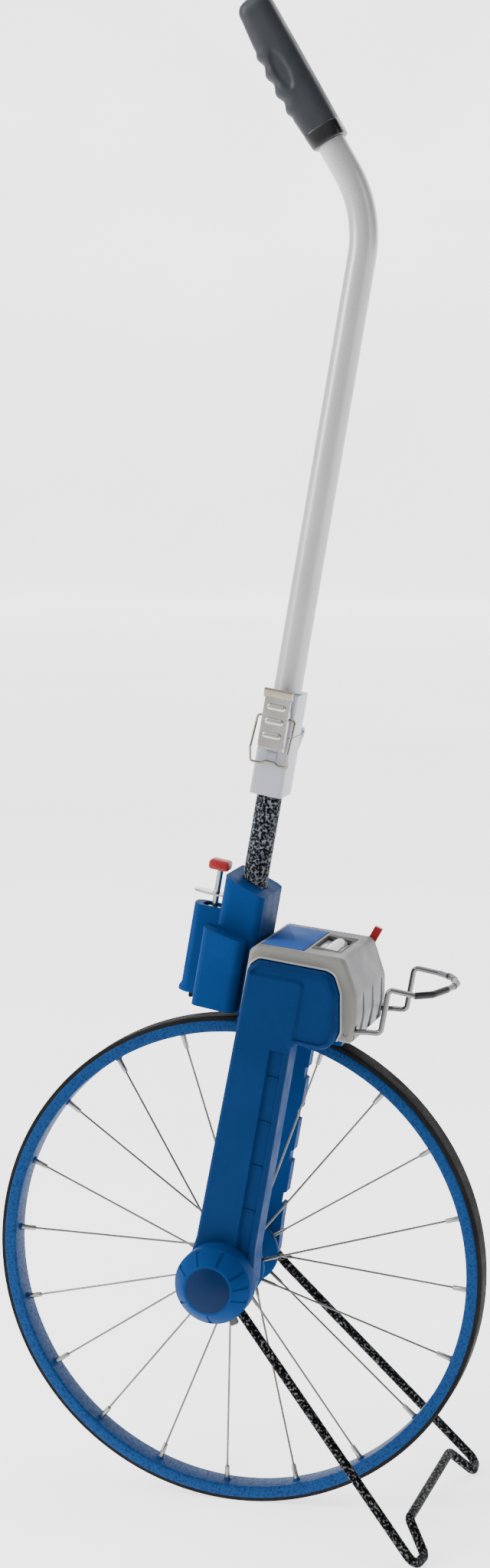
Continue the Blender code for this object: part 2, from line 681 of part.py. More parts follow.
def build_latch_wire(mast):
    y, w = WIRE_PIVOT
    half = [
        (MAST_U - 9.4, y, w), (MAST_U - 15.0, y, w), (MAST_U - 15.0, -27.5, 412.5),
        (MAST_U - 15.0, -20.4, 400.6), (MAST_U - 7.0, -19.6, 400.6), (MAST_U - 3.5, -19.0, 402.4),
    ]
    other = [(2 * MAST_U - u, y2, w2) for u, y2, w2 in reversed(half)]
    path = rounded(half + other, 2.2, 2)
    place("latch_wire", swept(path, 1.0, 6), STEEL, mast, (MAST_U, y, w))


def bend_direction():
    angle = radians(BEND_DEG)
    return Vector((-sin(angle), 0, cos(angle)))


def build_upper_tube(mast):
    corner = Vector((MAST_U, 0, BEND_W))
    end = corner + bend_direction() * (GRIP_FOOT + GRIP_LENGTH - 12)
    path = rounded([(MAST_U, 0, 428.4), corner, end], BEND_R, 8)
    origin = (MAST_U, FOLD_Y, FOLD_W)
    bm = swept(path, TUBE_R, 16, TUBE_R - 1.5)
    place("upper_tube", bm, TUBE_SILVER, mast, origin)


def grip_section(t):
    """Centre shift, half depth (u-w plane) and half width (y) of the grip at height t."""
    lumps = 1.3 * cos(2 * pi * (t - 8) / 24.5) if 8 < t < 106 else 0.0
    belly = 1.9 * sin(pi * min(max(t, 0), 112) / 112)
    depth = 13.6 + belly + 0.5 * lumps
    width = 13.2 + 0.8 * sin(pi * min(max(t, 0), 112) / 112)
    return -0.9 * belly - 0.5 * lumps, depth, width


def build_grip(mast):
    """Moulded grip, drawn upright on its own axis and tilted back with the tube."""
    foot = Vector((MAST_U, 0, BEND_W)) + bend_direction() * GRIP_FOOT
    sides = 14
    heights = [0, 3, 8, 14, 20, 26, 32.5, 38.5, 45, 51, 57, 63, 69.5, 76, 82, 88, 94, 100, 106, 112]
    rings = [(t, 1.0) for t in heights] + [(118, 0.9), (122, 0.68), (124.3, 0.35)]
    bm = bmesh.new()
    layers = []
    for t, scale in rings:
        shift, depth, width = grip_section(t)
        layer = []
        for k in range(sides):
            angle = 2 * pi * (k + 0.5) / sides
            c, s = cos(angle), sin(angle)
            stretch = (abs(c) ** 2.6 + abs(s) ** 2.6) ** (-1 / 2.6)
            layer.append(bm.verts.new((shift + depth * scale * stretch * c, width * scale * stretch * s, t)))
        layers.append(layer)
    for first, second in zip(layers, layers[1:]):
        for k in range(sides):
            n = (k + 1) % sides
            bm.faces.new((first[k], first[n], second[n], second[k]))
    bm.faces.new(layers[0])
    bm.faces.new(layers[-1])
    grip = place("grip", bm, GRIP_RUBBER, mast)
    grip.location = foot * MM
    grip.rotation_euler = (0, -radians(BEND_DEG), 0)
    bore = helper("grip_bore", disc('Z', TUBE_R + GAP, -1, GRIP_LENGTH - 11, 16), mast)
    bore.location = grip.location
    bore.rotation_euler = grip.rotation_euler
    boolean(grip, 'DIFFERENCE', bore)


# --- brake ---------------------------------------------------------------------------

def build_brake(mast):
    origin = (BRAKE_U, 0, 280)
    knob = [(-78, 308.3), (-76.4, 306.5), (-63, 306.5), (-61.5, 308), (-61.5, 312.4),
            (-63.6, 314.5), (-75.6, 314.5), (-78, 312)]
    block = place("brake_knob", prism('Y', knob, -6.2, 6.2), RED_PLASTIC, mast, origin)
    cut(block, "rod_seat", disc('Z', ROD_R + GAP, 304, 312.3, 12, (BRAKE_U, 0)))

    profile = [(0, 214.4), (ROD_R, 214.4), (ROD_R, 273.8), (5.2, 273.8), (5.2, 276.4),
               (ROD_R, 276.4), (ROD_R, 312), (0, 312)]
    place("brake_rod", turned('Z', profile, 12, (BRAKE_U, 0)), STEEL, mast, origin)

    sole = [(-76.6, 200.9), (-61.4, 206.4), (-61.4, 224), (-76.6, 224)]
    shoe = place("brake_shoe", prism('Y', sole, -6.4, 6.4), TYRE_BLACK, mast, origin)
    cut(shoe, "rod_seat", disc('Z', ROD_R + GAP, 214, 230, 12, (BRAKE_U, 0)))

    turns, per_turn = 6, 8
    coil = []
    for i in range(turns * per_turn + 1):
        angle = 2 * pi * i / per_turn
        height = 233.1 + (273.1 - 233.1) * i / (turns * per_turn)
        coil.append((BRAKE_U + 4.1 * cos(angle), 4.1 * sin(angle), height))
    place("brake_spring", swept(coil, 0.6, 4), STEEL, mast)

    leaf = [(-56.4, -6.4), (-56.4, 6.4), (-80, 6.4), (-85.5, 4.5), (-87.5, 0), (-85.5, -4.5), (-80, -6.4)]
    plate = place("lock_leaf", prism('Z', leaf, 286.4, 287.9), STEEL, mast, (-56.4, 0, 287.1))
    cut(plate, "rod_hole", disc('Z', ROD_R + 0.8, 280, 295, 12, (BRAKE_U, 0)))


# --- stand and front bail ------------------------------------------------------------

def build_kickstand(axle):
    """One wire: pins on the axle line, two legs, a foot loop on each and a crossbar."""
    low = -(AXLE_HEIGHT - STAND_R) - 0.2
    half = [
        (0, -57.6, 0), (0, -65.2, 0), (20.4, -66.5, -23.4), (168.5, -114, low),
        (171, -91, low), (155, -73.5, -174),
    ]
    bends = [4.6, 8, 8, 8, 8]
    path = rounded(mirrored(half), bends + bends[::-1], 3)
    place("kickstand", swept(path, STAND_R, 8), HAMMERTONE_BLACK, axle)


def build_hub_cap(name, axle, side, radius, face_r, wall, heights):
    """Hollow cap that turns with the stand, notched for its leg. Heights: foot, shoulder, face."""
    foot, shoulder, face = (side * h for h in heights)
    bore = radius - wall
    profile = [
        (bore, foot), (radius, foot), (radius, shoulder), (face_r, face),
        (0, face), (0, face - side * wall), (face_r - 1, face - side * wall), (bore, shoulder - side),
    ]
    cap = place(name, turned('Y', profile, 24), COVER_BLUE, axle)
    lean = atan2(-23.4, 20.4)
    along = Vector((cos(lean), 0, sin(lean)))
    across = Vector((-sin(lean), 0, cos(lean)))
    notch = bmesh.new()
    corners = [along * (bore - 5) + across * s * 4.6 + Vector((0, side * y, 0))
               for s, y in ((-1, 59), (1, 59), (1, 71.5), (-1, 71.5))]
    add_bar(notch, corners, along * (wall + 8))
    cut(cap, "leg_notch", notch)


def build_front_bail(mast):
    """Spring wire in front of the counter, above the folded stand."""
    u, w = BAIL_PIVOT
    half = [
        (u, -49.3, w), (u, -44, w), (78, -44, 217.5), (88.5, -44, 219), (88.8, -44, 254),
        (110, -44, 254), (121, -34, 255.5), (128, -17, 257.5), (131, -6, 258.5),
    ]
    path = rounded(mirrored(half), 4.0, 2)
    place("front_bail", swept(path, BAIL_R, 6), CHROME, mast, (u, 0, w))


# --- assembly ------------------------------------------------------------------------

clear_scene()

TYRE_BLACK = material("tyre_rubber", (0.02, 0.02, 0.022), 0.0, 0.75)
RIM_BLUE = material("rim_blue", (0.015, 0.075, 0.26), 0.0, 0.5)
COVER_BLUE = material("cover_blue", (0.014, 0.08, 0.25), 0.0, 0.45)
HOUSING_GREY = material("housing_grey", (0.56, 0.56, 0.54), 0.0, 0.45)
LABEL_BLUE = material("label_blue", (0.06, 0.19, 0.5), 0.0, 0.35)
LENS_GREY = material("lens_grey", (0.75, 0.76, 0.76), 0.0, 0.15)
RED_PLASTIC = material("red_plastic", (0.5, 0.03, 0.05), 0.0, 0.4)
HAMMERTONE_BLACK = material("hammertone_black", (0.06, 0.07, 0.08), 0.6, 0.35)
BRACKET_GREY = material("bracket_grey", (0.5, 0.51, 0.56), 0.3, 0.45)
STEEL = material("bright_steel", (0.6, 0.59, 0.56), 1.0, 0.28)
TUBE_SILVER = material("tube_silver", (0.58, 0.58, 0.57), 0.4, 0.42)
GRIP_RUBBER = material("grip_rubber", (0.03, 0.033, 0.038), 0.0, 0.6)
CHROME = material("chrome", (0.75, 0.75, 0.75), 1.0, 0.1)
BELT_BLACK = material("belt_black", (0.015, 0.015, 0.015), 0.0, 0.7)
DRUM_BLACK = material("drum_black", (0.02, 0.02, 0.02), 0.0, 0.5)
PINION_WHITE = material("pinion_white", (0.75, 0.73, 0.68), 0.0, 0.45)
BUSH_GREY = material("bush_grey", (0.25, 0.25, 0.26), 0.0, 0.5)

axle_frame = bpy.data.objects.new("axle_frame", None)
bpy.context.scene.collection.objects.link(axle_frame)
axle_frame.location = (0, 0, AXLE_HEIGHT * MM)

mast_frame = bpy.data.objects.new("mast_frame", None)
bpy.context.scene.collection.objects.link(mast_frame)
mast_frame.parent = axle_frame
mast_frame.rotation_euler = (0, radians(LEAN_DEG), 0)

build_tyre(axle_frame)
build_rim(axle_frame)
build_spokes(axle_frame)
build_hub(axle_frame)
build_axle(axle_frame)
build_drive_pulley(axle_frame)
build_near_arm(mast_frame)
build_far_arm(mast_frame)
build_covers(mast_frame)
build_bushes(mast_frame)
build_frame_head(mast_frame)
build_counter_box(mast_frame)
build_label_and_lens(mast_frame)
build_transfer_gear(mast_frame)
build_counter_shaft(mast_frame)
build_drums(mast_frame)
build_belt(mast_frame)
build_reset_lever(mast_frame)
build_lower_shaft(mast_frame)
build_fold_brackets(mast_frame)
build_latch_lever(mast_frame)
build_latch_wire(mast_frame)
build_upper_tube(mast_frame)
build_grip(mast_frame)
build_brake(mast_frame)
build_kickstand(axle_frame)
build_hub_cap("hub_cap_near", axle_frame, -1, 30.6, 19.5, 2.2, (60.3, 77.0, 90.0))
build_hub_cap("hub_cap_far", axle_frame, 1, 13.0, 9.0, 1.6, (61.3, 70.0, 74.0))
build_front_bail(mast_frame)
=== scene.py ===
"""Looks of the measuring wheel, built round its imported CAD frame.

Pieces are drawn in millimetres, either in the axle frame (origin on the axle, axes as
the row frame) or in the mast frame, which leans LEAN_DEG forward: u forward, w up.
"""

from math import atan2, cos, pi, radians, sin, tan

import bmesh
import bpy
from mathutils import Matrix, Vector


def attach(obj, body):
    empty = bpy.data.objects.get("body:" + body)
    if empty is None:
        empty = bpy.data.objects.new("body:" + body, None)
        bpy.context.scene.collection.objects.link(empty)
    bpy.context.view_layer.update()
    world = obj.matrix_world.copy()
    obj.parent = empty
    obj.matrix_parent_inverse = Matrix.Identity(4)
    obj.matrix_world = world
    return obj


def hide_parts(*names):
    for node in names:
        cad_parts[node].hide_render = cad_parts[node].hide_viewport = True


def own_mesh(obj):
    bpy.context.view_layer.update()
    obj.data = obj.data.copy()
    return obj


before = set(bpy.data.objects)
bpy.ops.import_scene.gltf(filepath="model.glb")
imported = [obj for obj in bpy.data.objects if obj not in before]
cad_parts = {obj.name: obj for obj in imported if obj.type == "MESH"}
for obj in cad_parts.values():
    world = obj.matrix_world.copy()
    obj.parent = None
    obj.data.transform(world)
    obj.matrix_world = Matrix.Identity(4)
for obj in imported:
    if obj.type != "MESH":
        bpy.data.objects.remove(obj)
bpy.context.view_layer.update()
scene = bpy.context.scene

# Frames
LEAN_DEG = 10.5
TYRE_R = 1250.0 / (2 * pi)
AXLE_HEIGHT = TYRE_R * cos(pi / 64)
MM = 0.001
AXLE = Matrix.Translation((0, 0, AXLE_HEIGHT * MM)) @ Matrix.Scale(MM, 4)
MAST = (Matrix.Translation((0, 0, AXLE_HEIGHT * MM)) @ Matrix.Rotation(radians(LEAN_DEG), 4, 'Y')
        @ Matrix.Scale(MM, 4))

# Wheel
RIM_OUT_R = 195.5
RIM_IN_R = 186.3
RIM_FLOOR_R = 190.0
RIM_HALF = 11.5
TYRE_HALF = 10.9
SPOKES = 20
SPOKE_PHASE_DEG = -3.9
FLANGE_R = 26.0
FLANGE_Y = 21.5

# Fork, mast and handle
MAST_U = -40.0
FOLD_Y = 21.0
FOLD_W = 423.0
BEND_W = 825.8
BEND_R = 95.0
BEND_DEG = 40.2
GRIP_FOOT = 60.0
GRIP_LENGTH = 118.0
BRAKE_U = -69.0

# Turning points in the mast frame: (u, w), or (y, w) for the latch and its wire
TRANSFER_AXIS = (6, 227)
DRUM_AXIS = (31.5, 246)
BAIL_PIVOT = (63, 214)
RESET_PIVOT = (48.5, 264)
LATCH_PIVOT = (-20.5, 414.5)
WIRE_PIVOT = (-20.0, 437.5)

# First bend of the stand's leg in the axle frame, (x, z)
LEG_BEND = (20.4, -23.4)


# --- materials -----------------------------------------------------------------------

# Cells per metre of the hammered paint
HAMMER_SCALE = 560


def new_material(name, roughness, specular=0.5, metallic=0.0, **sockets):
    """A material, its node tree and its shader, with constant values on the shader's sockets."""
    mat = bpy.data.materials.new(name)
    mat.use_nodes = True
    tree = mat.node_tree
    shader = tree.nodes["Principled BSDF"]
    shader.inputs["Roughness"].default_value = roughness
    shader.inputs["Specular IOR Level"].default_value = specular
    shader.inputs["Metallic"].default_value = metallic
    for socket, value in sockets.items():
        shader.inputs[socket.replace("_", " ")].default_value = value
    return mat, tree, shader


def put(tree, socket, value):
    """Link a value to a socket, or set it there if it is a number or a colour."""
    if isinstance(value, bpy.types.NodeSocket):
        tree.links.new(value, socket)
    else:
        socket.default_value = (*value, 1) if isinstance(value, tuple) else value


def object_point(tree):
    return tree.nodes.new("ShaderNodeTexCoord").outputs["Object"]


def along_y(tree):
    """Y of the object's points, in metres."""
    split = tree.nodes.new("ShaderNodeSeparateXYZ")
    tree.links.new(object_point(tree), split.inputs["Vector"])
    return split.outputs["Y"]


def maths(tree, operation, *values):
    """Result of a maths node; each value is a socket or a number."""
    node = tree.nodes.new("ShaderNodeMath")
    node.operation = operation
    for socket, value in zip(node.inputs, values):
        put(tree, socket, value)
    return node.outputs[0]


def map_range(tree, value, low, high, start=0.0, end=1.0):
    """Map a value's range from low to high onto start to end."""
    node = tree.nodes.new("ShaderNodeMapRange")
    for socket, number in zip(("From Min", "From Max", "To Min", "To Max"), (low, high, start, end)):
        node.inputs[socket].default_value = number
    tree.links.new(value, node.inputs["Value"])
    return node.outputs["Result"]


def noise(tree, scale, detail=3.0, scratch=None):
    """Noise in object space, in cycles per metre; scratch squeezes it along each of the mast's axes."""
    texture = tree.nodes.new("ShaderNodeTexNoise")
    texture.inputs["Scale"].default_value = scale
    texture.inputs["Detail"].default_value = detail
    point = object_point(tree)
    if scratch:
        mapping = tree.nodes.new("ShaderNodeMapping")
        mapping.vector_type = 'TEXTURE'
        mapping.inputs["Rotation"].default_value = (0, radians(LEAN_DEG), 0)
        mapping.inputs["Scale"].default_value = [1 / s for s in scratch]
        tree.links.new(point, mapping.inputs["Vector"])
        point = mapping.outputs["Vector"]
    tree.links.new(point, texture.inputs["Vector"])
    return texture.outputs["Fac"]


def cells(tree, scale):
    """Rounded cells in object space, 0 at the middle of each."""
    texture = tree.nodes.new("ShaderNodeTexVoronoi")
    texture.feature = 'SMOOTH_F1'
    texture.inputs["Scale"].default_value = scale
    texture.inputs["Smoothness"].default_value = 0.6
    tree.links.new(object_point(tree), texture.inputs["Vector"])
    return texture.outputs["Distance"]


def ramp(tree, factor, *stops):
    """Colour ramp; each stop is a place with a colour or a grey level."""
    node = tree.nodes.new("ShaderNodeValToRGB")
    elements = node.color_ramp.elements
    while len(elements) < len(stops):
        elements.new(0.5)
    for element, (spot, colour) in zip(elements, stops):
        element.position = spot
        element.color = (*colour, 1) if isinstance(colour, tuple) else (colour, colour, colour, 1)
    tree.links.new(factor, node.inputs["Fac"])
    return node.outputs["Color"]


def mixed(tree, factor, first, second, blend='MIX'):
    """Mix of two colours, each a socket or a constant."""
    node = tree.nodes.new("ShaderNodeMix")
    node.data_type = 'RGBA'
    node.blend_type = blend
    for socket, value in (("Factor", factor), ("A", first), ("B", second)):
        put(tree, node.inputs[socket], value)
    return node.outputs["Result"]


def drift(tree, colour, spread, scale, detail=3.0):
    """Slow change of tone, by the share spread to both sides of a colour."""
    levels = (1 - spread, min(1 + spread, 1 / max(colour)))
    dark, light = (tuple(c * level for c in colour) for level in levels)
    return ramp(tree, noise(tree, scale, detail), (0.35, dark), (0.65, light))


def add_bump(tree, shader, height, strength, distance_mm):
    node = tree.nodes.new("ShaderNodeBump")
    node.inputs["Strength"].default_value = strength
    node.inputs["Distance"].default_value = distance_mm * MM
    tree.links.new(height, node.inputs["Height"])
    tree.links.new(node.outputs["Normal"], shader.inputs["Normal"])


def surface(tree, shader, colour, roughness, height, strength, distance_mm):
    """Wire a colour, a roughness and a bump into a shader."""
    tree.links.new(colour, shader.inputs["Base Color"])
    tree.links.new(roughness, shader.inputs["Roughness"])
    add_bump(tree, shader, height, strength, distance_mm)


def moulded(name, colour, roughness, spread, grain=1500, grain_mm=0.03, specular=0.5, shade_band=None):
    """Moulded plastic or rubber: slow colour drift, fine grain, rubbed patches less rough.

    The last argument is a second colour of painted shade, and how far out (in metres along Y) it takes over
    on both sides.
    """
    mat, tree, shader = new_material(name, roughness, specular)
    base = drift(tree, colour, spread, 28)
    # Painted shade: beyond the given distance along Y, the second colour takes over.
    if shade_band:
        in_side_shade = maths(tree, 'GREATER_THAN', maths(tree, 'ABSOLUTE', along_y(tree)), shade_band[1])
        base = mixed(tree, in_side_shade, base, shade_band[0])
    fine = noise(tree, grain, 2.0)
    speck = ramp(tree, fine, (0.3, 0.93), (0.7, 1.05))
    rough = ramp(tree, noise(tree, 60, 5.0), (0.35, roughness - 0.07), (0.65, roughness + 0.07))
    surface(tree, shader, mixed(tree, 1.0, base, speck, 'MULTIPLY'), rough, fine, 0.6, grain_mm)
    return mat


def hammertone(name, dark, light, bump_mm, roughness, edges=(0.35, 0.62), specular=0.08):
    """Hammered paint: shallow pools with raised, brighter seams."""
    mat, tree, shader = new_material(name, roughness, specular)
    raised = maths(tree, 'MULTIPLY_ADD', cells(tree, HAMMER_SCALE), 0.55, noise(tree, HAMMER_SCALE * 0.9))
    height = maths(tree, 'SUBTRACT', raised, 0.2)
    colour = ramp(tree, height, (edges[0], dark), (edges[1], light))
    rough = ramp(tree, height, (0.3, roughness + 0.12), (0.7, roughness - 0.05))
    surface(tree, shader, colour, rough, height, 1.0, bump_mm)
    return mat


def metal(name, colour, roughness, scratch=(1, 1, 1), spread=0.12):
    """Plated or brushed metal with fine scratches and dull patches."""
    mat, tree, shader = new_material(name, roughness, metallic=1.0)
    lines = noise(tree, 500, 3.0, scratch)
    rough = ramp(tree, lines, (0.3, max(roughness - 0.08, 0.03)), (0.7, roughness + 0.12))
    surface(tree, shader, drift(tree, colour, spread, 45, 4.0), rough, lines, 0.25, 0.03)
    return mat


def powder(name, colour, roughness, metallic, orange_mm=0.05, scale=520):
    """Powder coat: orange-peel surface with a slow drift of tone."""
    mat, tree, shader = new_material(name, roughness, metallic=metallic, Coat_Weight=0.15)
    peel = noise(tree, scale, 2.0)
    rough = ramp(tree, peel, (0.3, roughness - 0.05), (0.7, roughness + 0.08))
    surface(tree, shader, drift(tree, colour, 0.05, 20, 5.0), rough, peel, 0.5, orange_mm)
    return mat


TYRE = moulded("look_tyre", (0.008, 0.008, 0.009), 0.7, 0.2, 900, 0.06, specular=0.08)
RIM = hammertone("look_rim", (0.0018, 0.020, 0.078), (0.0042, 0.038, 0.135), 0.2, 0.5)
BLUE = moulded("look_blue", (0.0036, 0.034, 0.132), 0.5, 0.06, specular=0.02)
BLUE_DARK = moulded("look_blue_dark", (0.0032, 0.0225, 0.084), 0.46, 0.05, specular=0.03)
BLUE_FACE = moulded("look_blue_face", (0.0012, 0.012, 0.05), 0.46, 0.05, specular=0.08)
# The housing's side bands get a warmer, slightly darker grey, which is painted shade.
GREY = moulded("look_housing", (0.185, 0.186, 0.195), 0.5, 0.04, specular=0.15,
               shade_band=((0.185, 0.18, 0.165), 0.0452))
# Light grey for the lips round the cover recesses, which is a painted highlight line.
LIP_HIGHLIGHT_GREY = moulded("look_housing_lip_highlight", (0.40, 0.40, 0.41), 0.45, 0.03)
GREY_DARK = moulded("look_housing_shade", (0.10, 0.096, 0.088), 0.6, 0.05, specular=0.05)
RED = moulded("look_red", (0.27, 0.012, 0.016), 0.36, 0.08, 1300, 0.02, specular=0.25)
BLACK_HAMMER = hammertone("look_black_hammer", (0.001, 0.0012, 0.0015), (0.11, 0.115, 0.125), 0.35, 0.5,
                          (0.60, 0.80), 0.03)
SHAFT_HAMMER = hammertone("look_shaft_hammer", (0.0010, 0.0014, 0.0022), (0.16, 0.18, 0.21), 0.7, 0.4,
                          (0.52, 0.78), 0.05)
BRACKET = powder("look_bracket", (0.36, 0.37, 0.425), 0.4, 0.15)
STEEL = metal("look_steel", (0.52, 0.51, 0.48), 0.16, (1, 1, 14))
WIRE = metal("look_wire", (0.24, 0.215, 0.165), 0.26)
CHROME = metal("look_chrome", (0.15, 0.15, 0.15), 0.12, spread=0.05)
SLEEVE = moulded("look_sleeve", (0.008, 0.008, 0.010), 0.4, 0.1, 900, 0.02, specular=0.3)
SLEEVE_GREY = moulded("look_sleeve_grey", (0.13, 0.13, 0.15), 0.4, 0.1, 900, 0.02)
SPOKE = metal("look_spoke", (0.13, 0.125, 0.12), 0.3)
NIPPLE = metal("look_nipple", (0.27, 0.265, 0.26), 0.3)
TUBE = powder("look_tube", (0.44, 0.44, 0.445), 0.32, 0.35, 0.01, 800)
GRIP = moulded("look_grip", (0.020, 0.023, 0.029), 0.5, 0.12, 1100, 0.07, specular=0.3)
COLLAR = moulded("look_collar", (0.004, 0.004, 0.005), 0.3, 0.1, 1100, 0.02, specular=0.4)
BELT = moulded("look_belt", (0.012, 0.012, 0.012), 0.7, 0.15, 900, 0.05)
DRUM = moulded("look_drum", (0.012, 0.012, 0.012), 0.4, 0.1, 1100, 0.02)
WHITE_INK = moulded("look_digits", (0.7, 0.7, 0.68), 0.5, 0.03, 1100, 0.01)
NYLON = moulded("look_nylon", (0.6, 0.58, 0.52), 0.42, 0.05, 900, 0.02)
BUSH = moulded("look_bush", (0.15, 0.15, 0.16), 0.5, 0.08, 900, 0.03)


def label_material():
    """Printed foil: two blues drifting across the plate."""
    mat, tree, shader = new_material("look_label", 0.6, 0.02)
    colour = ramp(tree, noise(tree, 16, 2.0), (0.3, (0.02, 0.07, 0.27)), (0.7, (0.06, 0.14, 0.4)))
    tree.links.new(colour, shader.inputs["Base Color"])
    add_bump(tree, shader, noise(tree, 2200, 1.0), 0.3, 0.01)
    return mat


def lens_material():
    """Clear plastic with a faint grey tint."""
    mat, tree, shader = new_material("look_lens", 0.1, Transmission_Weight=0.6, IOR=1.46)
    tint = ramp(tree, noise(tree, 60, 3.0), (0.3, (0.86, 0.87, 0.87)), (0.7, (0.95, 0.95, 0.95)))
    tree.links.new(tint, shader.inputs["Base Color"])
    return mat


LABEL = label_material()
LENS = lens_material()


# --- mesh helpers --------------------------------------------------------------------

AXES = {
    'X': lambda a, b, h: (h, a, b),
    'Y': lambda a, b, h: (a, h, b),
    'Z': lambda a, b, h: (a, b, h),
}


def loft(layers, bm=None, wrap=False):
    """Join closed rings of equal count, and cap both ends or, with wrap, join the last to the first."""
    bm = bm or bmesh.new()
    rings = [[bm.verts.new(p) for p in layer] for layer in layers]
    if wrap:
        rings.append(rings[0])
    count = len(rings[0])
    for first, second in zip(rings, rings[1:]):
        for k in range(count):
            n = (k + 1) % count
            bm.faces.new((first[k], first[n], second[n], second[k]))
    if not wrap:
        bm.faces.new(rings[0])
        bm.faces.new(rings[-1])
    return bm


def panel(axis, levels, bm=None):
    """Loft outlines of equal count, each with its height along the axis."""
    spot = AXES[axis]
    return loft([[spot(a, b, height) for a, b in outline] for outline, height in levels], bm=bm)


def prism(axis, outline, start, end, bm=None):
    return panel(axis, [(outline, start), (outline, end)], bm)


def turned(axis, profile, sides, centre=(0.0, 0.0)):
    """Turn a closed profile of (radius, height) round an axis through centre."""
    bm = bmesh.new()
    spot = AXES[axis]
    rings = []
    for radius, height in profile:
        if radius == 0:
            rings.append([bm.verts.new(spot(centre[0], centre[1], height))] * sides)
            continue
        ring = []
        for i in range(sides):
            angle = 2 * pi * i / sides
            across, along = centre[0] + radius * cos(angle), centre[1] + radius * sin(angle)
            ring.append(bm.verts.new(spot(across, along, height)))
        rings.append(ring)
    for j, ring in enumerate(rings):
        after = rings[(j + 1) % len(rings)]
        if profile[j][0] == 0 and profile[(j + 1) % len(profile)][0] == 0:
            continue
        for i in range(sides):
            k = (i + 1) % sides
            corners = list(dict.fromkeys((ring[i], ring[k], after[k], after[i])))
            bm.faces.new(corners)
    return bm


def disc(axis, radius, start, end, sides=48, centre=(0.0, 0.0), lip=0.0):
    """Round bar, with a chamfer of lip at both ends."""
    edge = [(radius, start), (radius, end)]
    if lip:
        step = lip if end > start else -lip
        edge = [(radius - lip, start), (radius, start + step), (radius, end - step), (radius - lip, end)]
    return turned(axis, [(0, start), *edge, (0, end)], sides, centre)


def fillet(points, radius, steps):
    """Round every corner of a closed outline; radius is one number or one per corner."""
    count = len(points)
    radii = radius if isinstance(radius, list) else [radius] * count
    out = []
    for i in range(count):
        before = Vector(points[i - 1])
        corner = Vector(points[i])
        after = Vector(points[(i + 1) % count])
        back, ahead = before - corner, after - corner
        reach_limit = 0.48 * min(back.length, ahead.length)
        back.normalize()
        ahead.normalize()
        turn = pi - back.angle(ahead)
        if turn < radians(2) or radii[i] <= 0:
            out += [tuple(corner)] * (steps + 1)
            continue
        reach = min(radii[i] * tan(turn / 2), reach_limit)
        bend = reach / tan(turn / 2)
        centre = corner + (back + ahead).normalized() * bend / cos(turn / 2)
        start = corner + back * reach - centre
        sense = 1 if back.x * ahead.y - back.y * ahead.x < 0 else -1
        for step in range(steps + 1):
            angle = sense * turn * step / steps
            out.append((centre.x + start.x * cos(angle) - start.y * sin(angle),
                        centre.y + start.x * sin(angle) + start.y * cos(angle)))
    return out


def inset(points, distance):
    """Move every corner of a closed outline inward, or outward if distance is negative."""
    area = sum(points[i - 1][0] * p[1] - p[0] * points[i - 1][1] for i, p in enumerate(points))
    sense = 1 if area > 0 else -1
    out = []
    count = len(points)
    for i in range(count):
        a, b, c = Vector(points[i - 1]), Vector(points[i]), Vector(points[(i + 1) % count])
        k = 1
        while (b - a).length < 1e-6 and k < count:
            k += 1
            a = Vector(points[i - k])
        k = 1
        while (c - b).length < 1e-6 and k < count:
            k += 1
            c = Vector(points[(i + k) % count])
        first = (b - a).normalized()
        second = (c - b).normalized()
        n1 = Vector((-first.y, first.x)) * sense
        n2 = Vector((-second.y, second.x)) * sense
        bisector = (n1 + n2).normalized()
        out.append(tuple(b + bisector * distance / max(bisector.dot(n1), 0.5)))
    return out


def both_sides(half):
    """Half of a profile, or of a stack of outlines, followed by its mirror image."""
    return half + [(first, -height) for first, height in reversed(half)]


def arc(centre, radius, start_deg, end_deg, steps):
    out = []
    for i in range(steps + 1):
        angle = radians(start_deg + (end_deg - start_deg) * i / steps)
        out.append((centre[0] + radius * cos(angle), centre[1] + radius * sin(angle)))
    return out


def box(low, high):
    return [(low[0], low[1]), (high[0], low[1]), (high[0], high[1]), (low[0], high[1])]


def rounded(points, bends, steps):
    """Replace each inner corner of a path by an arc; bends is one radius or one per corner."""
    points = [Vector(p) for p in points]
    if not isinstance(bends, list):
        bends = [bends] * (len(points) - 2)
    path = [points[0]]
    for before, corner, after, bend in zip(points, points[1:], points[2:], bends):
        back = (before - corner).normalized()
        ahead = (after - corner).normalized()
        turn = pi - back.angle(ahead)
        if turn < radians(4):
            path.append(corner)
            continue
        reach = bend * tan(turn / 2)
        centre = corner + (back + ahead).normalized() * bend / cos(turn / 2)
        axis = back.cross(ahead).normalized()
        arm = corner + back * reach - centre
        for step in range(steps + 1):
            path.append(centre + Matrix.Rotation(-turn * step / steps, 3, axis) @ arm)
    path.append(points[-1])
    return path


def spaced(path, step):
    """Points at even steps along a path."""
    out = [path[0]]
    for start, end in zip(path, path[1:]):
        span = end - start
        count = max(1, round(span.length / step))
        out += [start + span * k / count for k in range(1, count + 1)]
    return out


def mirrored(half):
    """Half of a path, followed by its mirror image across the middle plane."""
    return half + [(x, -y, z) for x, y, z in reversed(half)]


def swept(path, radius, sides, bore=0.0, bm=None):
    """Round bar along a path, hollow if bore is given."""
    points = [Vector(p) for p in path]
    count = len(points)
    tangents = [(points[min(i + 1, count - 1)] - points[max(i - 1, 0)]).normalized() for i in range(count)]
    start = Vector((0, 0, 1)) if abs(tangents[0].z) < 0.9 else Vector((0, 1, 0))
    normal = tangents[0].cross(start).normalized()
    outer, inner = [], []
    for i, point in enumerate(points):
        if i:
            normal = (tangents[i - 1].rotation_difference(tangents[i]) @ normal).normalized()
        side = tangents[i].cross(normal)
        for rings, size in ((outer, radius), (inner, bore)):
            rings.append([point + size * (cos(2 * pi * k / sides) * normal + sin(2 * pi * k / sides) * side)
                          for k in range(sides)])
    if bore:
        return loft(outer + inner[::-1], bm, wrap=True)
    return loft(outer, bm)


def lined_up(direction):
    """Rotation that turns the upward axis to a direction."""
    return Vector((0, 0, 1)).rotation_difference(direction).to_matrix().to_4x4()


